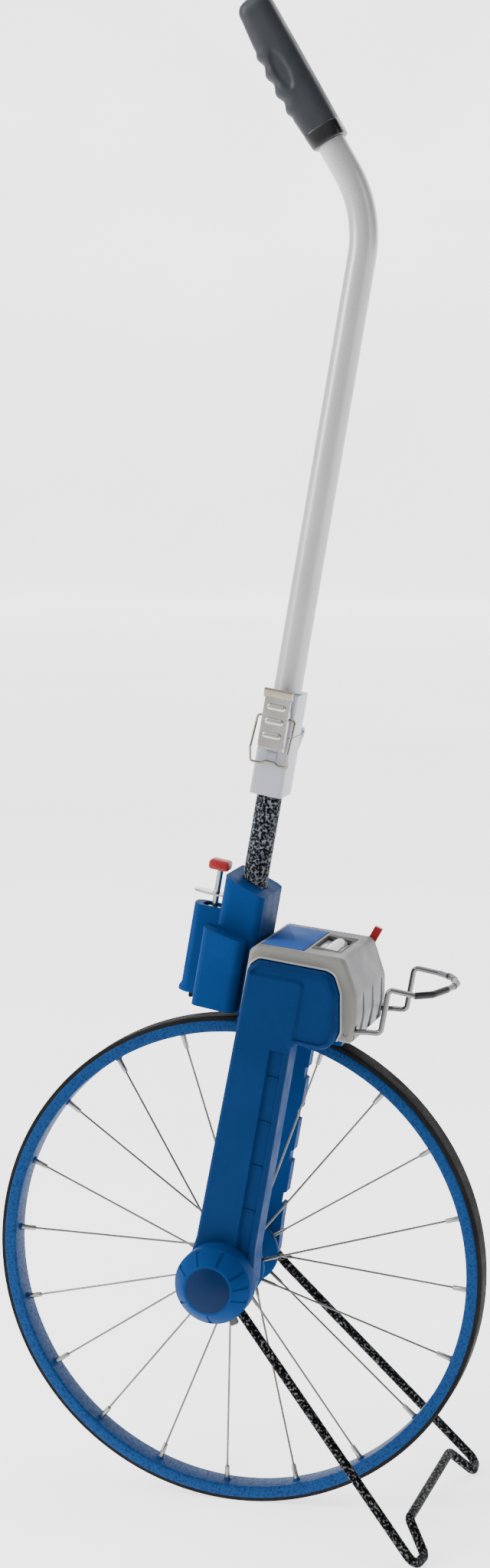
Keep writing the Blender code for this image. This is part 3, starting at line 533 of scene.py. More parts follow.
def merge(target, bm):
    """Add a bmesh to another one, and free it."""
    mesh = bpy.data.meshes.new("merged")
    bm.to_mesh(mesh)
    bm.free()
    target.from_mesh(mesh)
    bpy.data.meshes.remove(mesh)


def as_object(name, bm):
    bmesh.ops.recalc_face_normals(bm, faces=bm.faces)
    mesh = bpy.data.meshes.new(name)
    bm.to_mesh(mesh)
    bm.free()
    obj = bpy.data.objects.new(name, mesh)
    scene.collection.objects.link(obj)
    return obj


def cut(tool):
    """Operation that takes a shape away; join adds one."""
    return 'DIFFERENCE', tool


def join(tool):
    return 'UNION', tool


def carved(bm, operations):
    """Apply Boolean operations, each a cut or a join, and return a bmesh."""
    obj = as_object("blank", bm)
    tools = []
    for operation, tool in operations:
        helper = as_object("tool", tool)
        tools.append(helper)
        mod = obj.modifiers.new("b", 'BOOLEAN')
        mod.operation = operation
        mod.solver = 'EXACT'
        mod.object = helper
    bpy.context.view_layer.update()
    graph = bpy.context.evaluated_depsgraph_get()
    out = bmesh.new()
    out.from_object(obj, graph)
    for used in [obj] + tools:
        mesh = used.data
        bpy.data.objects.remove(used)
        bpy.data.meshes.remove(mesh)
    return out


def soften(obj, width, segments, angle_deg):
    """Round the edges that bend more than an angle; width is in millimetres."""
    mod = obj.modifiers.new("Bevel", 'BEVEL')
    mod.width = width * MM
    mod.segments = segments
    mod.limit_method = 'ANGLE'
    mod.angle_limit = radians(angle_deg)
    mod.harden_normals = True


def piece(name, bm, where, mat, body, replaces=(), bevel=0.0, segments=3, sharp=40):
    """Finish a piece: shading, material, bevel, and the body it rides on."""
    bmesh.ops.remove_doubles(bm, verts=bm.verts, dist=1e-5)
    obj = as_object(name, bm)
    mesh = obj.data
    mesh.transform(where)
    mesh.materials.append(mat)
    mesh.shade_smooth()
    if bevel:
        soften(obj, bevel, segments, 28)
    else:
        mesh.set_sharp_from_angle(angle=radians(sharp))
    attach(obj, body)
    if replaces:
        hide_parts(*replaces)
    return obj


def paint(mat, *names, bevel=0.0):
    """Give CAD nodes that stay a finished material, and soft edges."""
    for name in names:
        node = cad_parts[name]
        node.data.materials.clear()
        node.data.materials.append(mat)
        if bevel:
            soften(node, bevel, 2, 35)


# --- wheel ---------------------------------------------------------------------------

def spoke_axis(i):
    angle = radians(SPOKE_PHASE_DEG + 360 * i / SPOKES)
    return Vector((cos(angle), 0, sin(angle)))


def spoke_side(i):
    return -FLANGE_Y if i % 2 else FLANGE_Y


def build_tyre():
    inner = RIM_OUT_R - 0.15
    half = [(inner, 10.8), (inner + 1.2, TYRE_HALF), (inner + 1.5, 10.55), (inner + 1.9, 10.55),
            (TYRE_R - 1.3, 10.7), (TYRE_R - 0.75, 10.45), (TYRE_R - 0.25, 9.8), (TYRE_R, 8.8)]
    for groove in (6.2, 2.1):
        half += [(TYRE_R, groove + 0.5), (TYRE_R - 0.35, groove + 0.25),
                 (TYRE_R - 0.35, groove - 0.25), (TYRE_R, groove - 0.5)]
    bm = turned('Y', both_sides(half), 320)
    piece("tyre_skin", bm, AXLE, TYRE, "wheel", ["tyre"], sharp=50)


def build_rim():
    half = [(RIM_IN_R, 9.6), (RIM_IN_R + 0.25, 10.5), (RIM_IN_R + 1.0, 11.2), (RIM_IN_R + 2.0, RIM_HALF),
            (194.3, RIM_HALF), (195.1, 11.35), (RIM_OUT_R, 10.9), (RIM_OUT_R, 8.5), (RIM_FLOOR_R, 7.5)]
    bm = turned('Y', both_sides([(r, -y) for r, y in half]), 320)
    for i in range(SPOKES):
        axis = spoke_axis(i)
        boss = turned('Z', [(0, -1.9), (2.2, -1.7), (2.9, -1.0), (3.4, 0.6), (3.4, 2.4), (0, 2.4)], 20)
        boss.transform(Matrix.Translation(axis * (RIM_IN_R + 0.2)) @ lined_up(axis))
        merge(bm, boss)
    piece("rim_skin", bm, AXLE, RIM, "wheel", ["rim"], sharp=40)


def build_spokes():
    for i in range(SPOKES):
        axis = spoke_axis(i)
        start = axis * (FLANGE_R - 4.5) + Vector((0, spoke_side(i), 0))
        end = axis * RIM_FLOOR_R
        along = end - start
        length = along.length
        place = Matrix.Translation(start) @ lined_up(along)
        name = f"spoke_{i + 1:02d}"
        wire = [(0, 0), (1.3, 0), (1.45, 0.4), (1.45, 15), (1.2, 16.2), (0.85, 18), (0.8, length - 30),
                (0.85, length - 12), (0, length - 12)]
        bm = turned('Z', wire, 14)
        bm.transform(place)
        piece(name + "_wire", bm, AXLE, SPOKE, "wheel", [name], sharp=60)
        nipple = [(0, length - 16.5), (1.5, length - 16.5), (1.9, length - 16), (2.1, length - 8),
                  (2.2, length - 6.6), (2.2, length), (0, length)]
        bm = turned('Z', nipple, 14)
        bm.transform(place)
        piece(name + "_nipple", bm, AXLE, NIPPLE, "wheel", sharp=60)


def build_hub():
    neck = 34.6
    half = [(6.3, neck), (10.1, neck), (10.5, neck - 0.5), (10.5, 28.2), (11.4, 27.4), (21.5, 26.6),
            (23.6, 26.0), (25.2, 24.9), (26.0, 23.6), (26.0, 19.2), (25.4, 18.1), (17.0, 14.0), (14.5, 12.4),
            (13.2, 9.5), (12.8, 5)]
    bm = turned('Y', both_sides([(r, -y) for r, y in half]), 120)
    piece("hub_skin", bm, AXLE, BLUE, "wheel", ["hub_shell"], sharp=35)
    rivets = bmesh.new()
    for side in (-1, 1):
        for k in range(10):
            angle = radians(SPOKE_PHASE_DEG + 36 * k + (36 if side < 0 else 18))
            centre = Vector((20.5 * cos(angle), side * 27.0, 20.5 * sin(angle)))
            dome = turned('Y', [(0, -1.0), (1.9, -1.0), (1.9, 0.0), (1.5, 0.7), (0.8, 1.1), (0, 1.2)], 14)
            if side < 0:
                dome.transform(Matrix.Scale(-1, 4, (0, 1, 0)))
            dome.transform(Matrix.Translation(centre))
            merge(rivets, dome)
    piece("hub_rivets", rivets, AXLE, BLUE, "wheel", sharp=50)


# --- fork ----------------------------------------------------------------------------

COVER_HEAD = [(47.5, 199.3), (54.5, 203.0), (57.5, 214.0), (52.3, 243.5), (46.0, 255.8),
              (40.0, 257.8), (-14.0, 255.6), (-19.4, 250.0)]


def near_cover_outline():
    foot = [(-23.5, 30), (-28, 0), (-24, -14), (-14, -24), (0, -28), (14, -24), (24, -14), (27.5, 0),
            (24.4, 30)]
    outline = foot + [(24.5, 194.0), (29.5, 199.3)] + COVER_HEAD
    radii = [8, 12, 12, 12, 12, 12, 12, 12, 10, 5, 6, 7, 7, 12, 12, 6, 3, 8, 8]
    return fillet(outline, radii, 6)


def build_near_cover():
    """Skin of the near arm: bevelled all round, with a stepped head and a ribbed channel."""
    outline = near_cover_outline()
    levels = [(outline, -57.3), (outline, -58.6), (inset(outline, 0.5), -59.6), (inset(outline, 2.4), -61.2),
              (inset(outline, 2.9), -61.35)]
    bm = panel('Y', levels)
    tools = []
    channel = [(8.2, -63), (10.4, -58.8), (19.5, -58.8), (21.2, -63)]
    tools.append(cut(prism('Z', channel, 8, 190.5)))
    pad = fillet([(-30, 150), (24.2, 150), (24.2, 246.4), (-14.2, 244.9), (-30, 244)], [0, 0, 2.5, 0, 0], 5)
    wide = inset(pad, -3.0)
    low = fillet([(-16.6, 201.8), (46.2, 202.4), (51.6, 205.8), (54.0, 214.0), (49.2, 242.2), (44.0, 252.2),
                  (38.8, 254.2), (-12.0, 252.2), (-16.4, 248.6)], 4.0, 5)
    step = carved(prism('Y', low, -59.9, -63), [
        cut(panel('Y', [(wide, -59.0), (wide, -59.9), (pad, -61.5), (pad, -64)]))])
    tools.append(cut(step))
    bm = carved(bm, tools)
    piece("near_cover_skin", bm, MAST, BLUE_DARK, "frame", ["cover_near"], bevel=0.55)
    ribs = bmesh.new()
    for k in range(5):
        low = 24.0 + 36.0 * k
        outline = fillet(box((10.2, low), (19.7, low + 1.6)), 0.5, 3)
        panel('Y', [(outline, -58.5), (outline, -59.5), (inset(outline, 0.35), -59.9)], ribs)
    piece("near_cover_ribs", ribs, MAST, BLUE_DARK, "frame")


def build_near_arm():
    """Side walls of the near arm and head, lighter where they catch the light."""
    outline = fillet([(-23.2, 30), (-27.6, 0), (-23.7, -14), (-14, -23.7), (0, -27.7), (14, -23.7),
                      (23.7, -14), (27.2, 0), (24.3, 30), (24.4, 201.2), (-18.8, 201.2)], 6.0, 4)
    inner = inset(outline, 2.4)
    head = fillet([(-19.0, 198.5)] + COVER_HEAD, 6.0, 5)
    ops = [
        join(prism('Y', head, -44.4, -57.0)),
        cut(prism('Y', inner, -38.6, -60)),
        cut(prism('Y', inset(head, 2.4), -46.9, -60)),
        cut(prism('Y', box((-16, 192), (21.5, 206)), -46.9, -60)),
        cut(disc('Y', 9.2, -34, -40)),
        cut(disc('Y', 4.5, -49.5, -42, centre=TRANSFER_AXIS)),
    ]
    bm = carved(prism('Y', outline, -36.1, -57.0), ops)
    piece("near_arm_walls", bm, MAST, BLUE, "frame", ["arm_near"], bevel=0.8)


def build_far_arm():
    outline = fillet([(-20, 26), (-22, 0), (-15.6, -15.6), (0, -22), (15.6, -15.6), (21.8, 0), (20.4, 26),
                      (20.0, 201.2), (-18.8, 201.2)], 7.0, 4)
    inner = inset(outline, 2.4)
    head = fillet([(-19.0, 198.5)] + COVER_HEAD, 6.0, 5)
    notches = bmesh.new()
    for low in (39.7, 75.6, 110.6, 145.7):
        notch = [(17.9, low + 1), (24, low - 0.5), (24, low + 12.5), (17.9, low + 9.6)]
        prism('Y', fillet(notch, 0.8, 3), 35, 50, notches)
    ops = [
        join(prism('Y', head, 44.4, 48.0)),
        cut(prism('Y', [(u, min(w, 194)) for u, w in inner], 38.6, 50)),
        cut(notches),
        cut(disc('Y', 9.2, 34, 40.8)),
    ]
    bm = carved(prism('Y', outline, 36.1, 48.0), ops)
    piece("far_arm_shell", bm, MAST, BLUE, "frame", ["arm_far"], bevel=0.6)
    far = [(-14.3, 20), (-17, 0), (-12, -12), (0, -17), (12, -12), (17, 0), (15, 20), (15, 194), (20, 199.3)]
    outline = fillet(far + COVER_HEAD, 6.0, 4)
    bm = panel('Y', [(outline, 48.3), (outline, 49.6), (inset(outline, 0.9), 50.5)])
    boss = turned('Y', [(4.3, 47.8), (13.4, 50.2), (12.6, 51.2), (12.0, 52.4), (12.0, 59.9), (11.2, 60.8),
                        (4.3, 60.8)], 64)
    plug = disc('Y', 4.3, 47, 52)
    bm = carved(bm, [cut(plug), join(boss)])
    piece("far_cover_skin", bm, MAST, BLUE_DARK, "frame", ["cover_far"], bevel=0.4)


def build_caps():
    """Conical caps over the ends of the axle line."""
    lean = atan2(LEG_BEND[1], LEG_BEND[0])
    along = Vector((cos(lean), 0, sin(lean)))
    across = Vector((-sin(lean), 0, cos(lean)))
    for name, side, spec in (("near", -1, (30.6, 19.5, 2.2, 60.3, 77.0, 90.0)),
                             ("far", 1, (13.0, 9.0, 1.6, 61.3, 70.0, 74.0))):
        radius, face_r, wall, foot, shoulder, face = spec
        bore = radius - wall
        profile = [
            (bore, foot), (radius - 0.4, foot), (radius, foot + 0.5), (radius, shoulder - 0.8),
            (radius - 0.35, shoulder + 0.3), (face_r + 0.7, face - 0.9), (face_r, face - 0.25),
            (face_r - 0.7, face), (face_r - 1.6, face), (face_r - 1.9, face - 0.5), (0, face - 0.5),
            (0, face - wall), (face_r - 1, face - wall), (bore, shoulder - 1),
        ]
        bm = turned('Y', [(r, side * y) for r, y in profile], 120)
        notch = bmesh.new()
        corners = [along * (bore - 5) + across * s * 4.6 + Vector((0, side * y, 0))
                   for s, y in ((-1, 59), (1, 59), (1, 71.5), (-1, 71.5))]
        loft([corners, [c + along * (wall + 8) for c in corners]], bm=notch)
        ops = [cut(notch)]
        if side < 0:
            marks = bmesh.new()
            for degrees_at in (150, 112, 70, 28, 4, -20, -92, -150):
                angle = radians(degrees_at)
                out = Vector((cos(angle), 0, sin(angle)))
                turn = Vector((-sin(angle), 0, cos(angle)))
                low, high = out * 20.4 + Vector((0, -89.9, 0)), out * 29.6 + Vector((0, -79.1, 0))
                lift = (Vector((0, -1.0, 0)) + out) * 2.4
                ring = [low - turn * 0.8, low + turn * 0.8, high + turn * 1.3, high - turn * 1.3]
                loft([[p - lift * 0.4 for p in ring], [p + lift for p in ring]], bm=marks)
            ops.append(cut(marks))
        bm = carved(bm, ops)
        piece(f"{name}_cap_shell", bm, AXLE, BLUE, "stand", [f"hub_cap_{name}"], sharp=32)
        if side < 0:
            bm = disc('Y', face_r - 1.4, side * (face - 0.6), side * (face + 0.05), 96, lip=0.3)
            piece("near_cap_face", bm, AXLE, BLUE_FACE, "stand", sharp=50)


def build_frame_head():
    """Socket, bridge, brake guide and side pocket, with well rounded vertical edges."""
    front = -23.6
    plan = fillet(box((-58, -30), (front, 30)), [9, 6, 6, 9], 8)
    body = prism('Z', plan, 207, 312)
    slope = [(-70, 309.9), (-58, 309), (front + 6, 295.9), (front + 6, 320), (-70, 320)]
    radii = [0, 0, 5, 6, 6, 5]
    guide = fillet([(-56, -10), (-56, 10), (-79, 10), (-84.3, 5.5), (-84.3, -5.5), (-79, -10)], radii, 6)
    lip = fillet([(-56, -11.2), (-56, 11.2), (-79.4, 11.2), (-86, 6.1), (-86, -6.1), (-79.4, -11.2)],
                 radii, 6)
    pocket = fillet([(-64, -45), (-29, -45), (-29, -28), (-64, -28)], [6, 8, 0, 0], 8)
    rim_drop = [(-70, 262), (-64, 269), (-31, 263.5), (-25, 256), (-25, 285), (-70, 285)]
    pocket_bm = carved(prism('Z', pocket, 206.5, 270),
                       [cut(prism('Y', rim_drop, -50, -29.9))])
    channel = fillet(box((-77.6, -7.2), (-60.6, 7.2)), 4.5, 6)
    ops = [
        cut(prism('Y', slope, -40, 40)),
        join(prism('Y', box((-25.0, 201.6), (60, 205.4)), -43.7, 43.7)),
        join(prism('Y', fillet(box((-52, 201.6), (-23.6, 209)), 1.5, 3), -20, 20)),
        join(prism('Z', guide, 207.5, 278)),
        join(panel('Z', [(lip, 206.5), (lip, 209.5), (guide, 213)])),
        join(pocket_bm),
        cut(disc('Z', 10.6, 222, 320, centre=(MAST_U, 0))),
        cut(prism('Z', channel, 232, 300)),
        cut(prism('Z', channel, 190, 228)),
        cut(disc('Z', 3.0, 226, 234, centre=(BRAKE_U, 0))),
        cut(prism('Y', box((-59.5, 284.2), (-55.2, 290.4)), -7.6, 7.6)),
    ]
    bm = carved(body, ops)
    piece("fork_head", bm, MAST, BLUE, "frame", ["frame_head"], bevel=1.0)


# --- counter -------------------------------------------------------------------------

def build_counter_box():
    corners = [(-23.2, 206), (68.5, 206), (69.0, 225), (66.0, 243), (55.0, 264), (51, 270), (-18.5, 265.8),
               (-23.2, 261)]
    radii = [4, 3, 20, 20, 8, 6, 6, 5]
    rounding = 4.2

    def slice_at(depth):
        return fillet(inset(corners, depth), [max(r - depth, 0.6) for r in radii], 5)

    steps = [radians(a) for a in (90, 72, 54, 36, 18, 0)]
    near = [(slice_at(rounding * (1 - cos(a))), -50 + rounding * (1 - sin(a))) for a in steps]
    near += [(slice_at(d), y) for d, y in ((0.0, -45.5), (0.8, -45.3), (0.8, -44.7), (0.0, -44.5))]
    recess = fillet([(-19.6, 198.2), (47.5, 198.2), (55.2, 202.3), (58.4, 214.0), (53.1, 243.9),
                     (46.5, 256.7), (40.2, 258.8), (-14.3, 256.6), (-20.4, 250.4)], 6.5, 5)
    bail_room = fillet(box((62, 190), (76, 220.5)), 1.5, 3)
    hollow = [(-20.7, 190), (64.6, 190), (65.0, 224), (62.2, 242), (53.0, 261.5), (-20.7, 261.5)]
    ops = [
        cut(prism('Y', hollow, -41.5, 22)),
        cut(prism('Y', hollow, 25, 41.5)),
        cut(prism('Y', recess, -44, -52)),
        cut(prism('Y', recess, 44, 52)),
        cut(prism('Y', box((60.4, 190), (65.8, 219)), -47.3, 47.3)),
        cut(disc('Y', 2.3, -52, 52, 24, BAIL_PIVOT)),
        cut(prism('Y', bail_room, -46.6, -41.4)),
        cut(prism('Y', bail_room, 41.4, 46.6)),
        cut(prism('Z', fillet(box((19.5, -29), (44, 30)), 2.5, 4), 264.5, 275)),
        cut(prism('Z', box((23.9, -21.3), (39.1, 21.3)), 258, 268)),
        cut(prism('Y', [(-16.6, 264.98), (18.0, 267.0), (18.0, 274), (-16.6, 274)], -41.5, 37.5)),
        cut(disc('Y', 4.5, -45, -40, centre=TRANSFER_AXIS)),
        cut(disc('Y', 2.9, -43.5, 27, 24, DRUM_AXIS)),
        cut(disc('Y', 2.2, 44.5, 52, 24, RESET_PIVOT)),
    ]
    slots = bmesh.new()
    for middle in (-25, 5, 35):
        wedge = [(middle - 1.3, 243), (middle + 1.7, 243), (middle + 6.2, 209), (middle - 5.6, 209)]
        prism('X', fillet(wedge, 0.8, 3), 65.6, 76, slots)
    ops.append(cut(slots))
    bm = carved(panel('Y', both_sides(near)), ops)
    piece("counter_housing", bm, MAST, GREY, "frame", ["counter_box"], bevel=0.45, segments=2)
    # Thin raised lips round both cover recesses, coloured light grey as a painted highlight line round the
    # covers.
    highlight_lips = bmesh.new()
    for side in (-1, 1):
        lip = carved(prism('Y', inset(recess, -1.5), side * 49.3, side * 50.4), [
            cut(prism('Y', recess, side * 48, side * 52)),
            cut(prism('Y', box((-40, 180), (80, 206.3)), side * 48, side * 52))])
        merge(highlight_lips, lip)
    piece("housing_highlight_lips", highlight_lips, MAST, LIP_HIGHLIGHT_GREY, "frame", bevel=0.25, segments=2)


def build_counter_top():
    slope = atan2(2.0, 33.5)
    plate = fillet(box((-16.2, -41.1), (17.6, 37.1)), 3.0, 6)
    levels = [(plate, 0.0), (plate, 0.8), (inset(plate, 0.3), 1.05)]
    bm = panel('Z', levels)
    bm.transform(Matrix.Translation((0, 0, 266.35)) @ Matrix.Rotation(-slope, 4, 'Y'))
    piece("label_foil", bm, MAST, LABEL, "frame", ["label_plate"], sharp=50)
    dome = arc((DRUM_AXIS[0], 261.8), 7.2, 28, 152, 16)
    lens = [(24.2, 260.2), (38.8, 260.2), (38.8, 264.8), (41.5, 264.8), (41.5, 265.7)] + dome + [
        (21.5, 265.7), (21.5, 264.8), (24.2, 264.8)]
    piece("lens", prism('Y', lens, -21, 21), MAST, LENS, "frame", ["window_lens"], sharp=25)
    outer = fillet(box((19.8, -28.7), (43.7, 29.7)), 2.3, 6)
    hole = fillet(box((21.2, -21.4), (41.8, 21.4)), 1.5, 4)
    bm = carved(panel('Z', [(outer, 264.6), (outer, 266.6), (inset(outer, 0.6), 267.4)]),
                [cut(prism('Z', hole, 260, 270))])
    bm.transform(Matrix.Translation((0, 0, 1.6)))
    piece("window_bezel", bm, MAST, GREY_DARK, "frame", bevel=0.3)


def digit_outline(k):
    """Strokes of a seven-segment numeral, as boxes in (across, up)."""
    segments = {
        'a': ((-1.4, 2.4), (1.4, 3.0)), 'g': ((-1.4, -0.3), (1.4, 0.3)), 'd': ((-1.4, -3.0), (1.4, -2.4)),
        'f': ((-1.8, 0.2), (-1.2, 2.7)), 'b': ((1.2, 0.2), (1.8, 2.7)),
        'e': ((-1.8, -2.7), (-1.2, -0.2)), 'c': ((1.2, -2.7), (1.8, -0.2)),
    }
    lit = ["abcdef", "bc", "abged", "abgcd", "fgbc", "afgcd", "afgedc", "abc", "abcdefg", "abcfgd"][k]
    return [segments[s] for s in lit]


def build_drums():
    centre = Vector((DRUM_AXIS[0], 0, DRUM_AXIS[1]))
    for i in range(4):
        low = -19.4 + 9.6 * i
        high = low + 9.2
        profile = [(2.85, low), (12.6, low), (13.0, low + 0.4), (13.0, high - 0.4), (12.6, high),
                   (2.85, high)]
        bm = turned('Y', profile, 80, DRUM_AXIS)
        body = "counter" if i == 0 else f"drum_{i + 1}"
        piece(f"drum_{i + 1}_body", bm, MAST, DRUM, body, [f"drum_{i + 1}"])
        ink = bmesh.new()
        for k in range(10):
            angle = radians(90 + 36 * k)
            out = Vector((cos(angle), 0, sin(angle)))
            up = Vector((-sin(angle), 0, cos(angle)))
            middle = centre + out * 12.95 + Vector((0, (low + high) / 2, 0))
            for low_corner, high_corner in digit_outline(k):
                ring = [middle + Vector((0, a, 0)) - up * b for a, b in box(low_corner, high_corner)]
                loft([ring, [p + out * 0.12 for p in ring]], bm=ink)
        piece(f"drum_{i + 1}_digits", ink, MAST, WHITE_INK, body)


# --- mast and handle -----------------------------------------------------------------

def build_lower_shaft():
    profile = [(8.0, 222.4), (10.0, 222.4), (10.0, 413.6), (9.7, 414.0), (8.0, 414.0)]
    piece("lower_shaft_tube", turned('Z', profile, 80, (MAST_U, 0)), MAST, SHAFT_HAMMER, "frame",
          ["lower_shaft"])


def eye_outline(rising):
    """Ear round the fold pin, with its root above (rising 1) or below (-1)."""
    eye = arc((FOLD_Y, FOLD_W), 4.6, -178 * rising, 30 * rising, 20)
    return eye + [(15, FOLD_W + 12 * rising), (15, FOLD_W + 0.5 * rising)]


def build_brackets():
    plan = fillet([(-53, -16), (-27, -16), (-27, 16), (-53, 16)], 2.6, 6)
    nib = [(-15, 411), (-16.6, 410), (-17.3, 408.5), (-17.3, 405), (-15, 403.5)]
    ops = [join(prism('X', eye_outline(-1), a, b)) for a, b in ((-53, -47.2), (-32.8, -27))]
    ops += [
        join(prism('X', nib, -44, -36)),
        cut(disc('Z', 10.4, 370, 416, centre=(MAST_U, 0))),
        cut(disc('X', 2.8, -54, -26, 24, (FOLD_Y, FOLD_W))),
    ]
    bm = carved(prism('Z', plan, 375, FOLD_W - 0.3), ops)
    piece("lower_bracket_shell", bm, MAST, BRACKET, "frame", ["lower_bracket"], bevel=0.6)

    y, w = LATCH_PIVOT
    lug = arc((y, w), 2.8, 180, 360, 12) + [(-17.7, 428), (-15, 431), (-15, 447), (-18, 447), (-23.3, 430)]
    ops = [join(prism('X', eye_outline(1), -46.8, -33.2))]
    ops += [join(prism('X', lug, start, start + 2.2)) for start in (-48.8, -33.4)]
    ops += [
        cut(disc('Z', 11.4, 428, 470, centre=(MAST_U, 0))),
        cut(disc('X', 2.8, -54, -26, 24, (FOLD_Y, FOLD_W))),
        cut(disc('X', 1.8, -52, -28, 20, (y, w))),
    ]
    bm = carved(prism('Z', plan, FOLD_W + 0.3, 456), ops)
    piece("upper_bracket_shell", bm, MAST, BRACKET, "handle", ["upper_bracket"], bevel=0.6)
    piece("fold_pin", disc('X', 2.5, -53.9, -26.1, 32, (FOLD_Y, FOLD_W), lip=0.4), MAST, STEEL, "frame",
          ["hinge_pin"])


def build_latch():
    y, w = LATCH_PIVOT
    plate = fillet([(-50.5, w - 1), (-29.5, w - 1), (-29.5, 453.5), (-50.5, 453.5)], [3, 3, 1.5, 1.5], 6)
    skin = panel('Y', [(plate, -24.2), (plate, -25.0), (inset(plate, 0.3), -25.25)])
    cheek = arc((y, w), 3.4, 200, 345, 14) + [(-17.1, 438), (-19, 441), (-24.4, 446), (-24.4, w)]
    ops = [join(prism('X', cheek, start, start + 1.1)) for start in (-50.5, -30.6)]
    ops.append(join(disc('X', 1.4, -50.0, -30.0, 20, (y, w))))
    ops.append(cut(disc('X', 1.35, -52, -28, 20, WIRE_PIVOT)))
    bm = carved(skin, ops)
    piece("latch_plate", bm, MAST, STEEL, "latch", ["latch_lever"], bevel=0.35)
    ribs = bmesh.new()
    for rib in (446.0, 434.9, 423.9):
        outline = fillet(box((-47.6, rib - 2.5), (-32.6, rib + 2.5)), 2.5, 8)
        levels = [(outline, -25.0), (inset(outline, 0.1), -26.3), (inset(outline, 0.6), -27.1),
                  (inset(outline, 1.4), -27.4)]
        panel('Y', levels, ribs)
    piece("latch_ribs", ribs, MAST, STEEL, "latch", sharp=60)
    lip = [(-24.1, 452.0), (-27.0, 453.6), (-28.6, 459.0), (-27.8, 460.3), (-26.6, 460.2), (-24.2, 455.6)]
    lip_bm = prism('X', fillet(lip, 0.6, 4), -51.4, -28.6)
    piece("latch_lip", lip_bm, MAST, WIRE, "latch", bevel=0.4)

    y, w = WIRE_PIVOT
    half = [(MAST_U - 9.4, y, w), (MAST_U - 15.0, y, w), (MAST_U - 15.0, -27.5, 412.5),
            (MAST_U - 15.0, -20.4, 400.6), (MAST_U - 7.0, -19.6, 400.6), (MAST_U - 3.5, -19.0, 402.4)]
    other = [(2 * MAST_U - u, y2, w2) for u, y2, w2 in reversed(half)]
    piece("latch_wire_bent", swept(rounded(half + other, 2.2, 6), 1.0, 16), MAST, WIRE, "latch_wire",
          ["latch_wire"], sharp=60)


def bend_direction():
    return Vector((-sin(radians(BEND_DEG)), 0, cos(radians(BEND_DEG))))


def build_upper_tube():
    corner = Vector((MAST_U, 0, BEND_W))
    end = corner + bend_direction() * (GRIP_FOOT + GRIP_LENGTH - 12)
    path = rounded([(MAST_U, 0, 428.4), corner, end], BEND_R, 28)
    piece("upper_tube_bent", swept(path, 11.0, 64, 9.5), MAST, TUBE, "handle", ["upper_tube"])


def grip_ring(t, scale):
    """Ring of the grip at height t: finger grooves behind, an oval dimple on the near side."""
    first_groove, last_groove, groove_pitch, swell_length = 27, 89, 15.5, 112
    fade = min(max((t - first_groove) / 6, 0), 1) * min(max((last_groove - t) / 6, 0), 1)
    lumps = 1.25 * fade * cos(2 * pi * (t - first_groove - 8) / groove_pitch)
    swell = sin(pi * min(max(t, 0), swell_length) / swell_length)
    belly = 1.9 * swell
    shift = -0.9 * belly - 0.5 * lumps
    depth = (13.6 + belly + 0.5 * lumps) * scale
    width = (13.2 + 0.8 * swell) * scale
    ring = []
    sides, squareness = 72, 3.2
    for k in range(sides):
        angle = 2 * pi * k / sides
        c, s = cos(angle), sin(angle)
        stretch = (abs(c) ** squareness + abs(s) ** squareness) ** (-1 / squareness)
        u, y = shift + depth * stretch * c, width * stretch * s
        away = ((t - 64) / 17) ** 2 + ((u + 3.5) / 5.6) ** 2
        if s < 0 and away < 1:
            y += 1.5 * (1 - away ** 4)
        ring.append((u, y, t))
    return ring


def build_grip():
    foot = Vector((MAST_U, 0, BEND_W)) + bend_direction() * GRIP_FOOT
    where = MAST @ Matrix.Translation(foot) @ Matrix.Rotation(-radians(BEND_DEG), 4, 'Y')
    skin = [(0.0, 0.93), (0.25, 0.965), (0.8, 0.99), (1.6, 1.0)]
    skin += [(2 + 1.25 * k, 1.0) for k in range(90)]
    skin += [(115.5, 0.985), (117.4, 0.95), (119.0, 0.9), (120.6, 0.82), (121.9, 0.72), (123.0, 0.58),
             (123.8, 0.42), (124.2, 0.25), (124.3, 0.08)]
    collar = [(-0.2, 0.94), (0.1, 0.98), (0.8, 1.02), (4, 1.03), (11.2, 1.03), (12.2, 1.02), (12.8, 0.99)]
    for name, rings, mat, node in (("skin", skin, GRIP, ["grip"]), ("collar", collar, COLLAR, ())):
        bore = disc('Z', 11.3, -1, 107, 64)
        bm = carved(loft([grip_ring(t, scale) for t, scale in rings]), [cut(bore)])
        piece(f"grip_{name}", bm, where, mat, "handle", node, sharp=50)


# --- brake ---------------------------------------------------------------------------

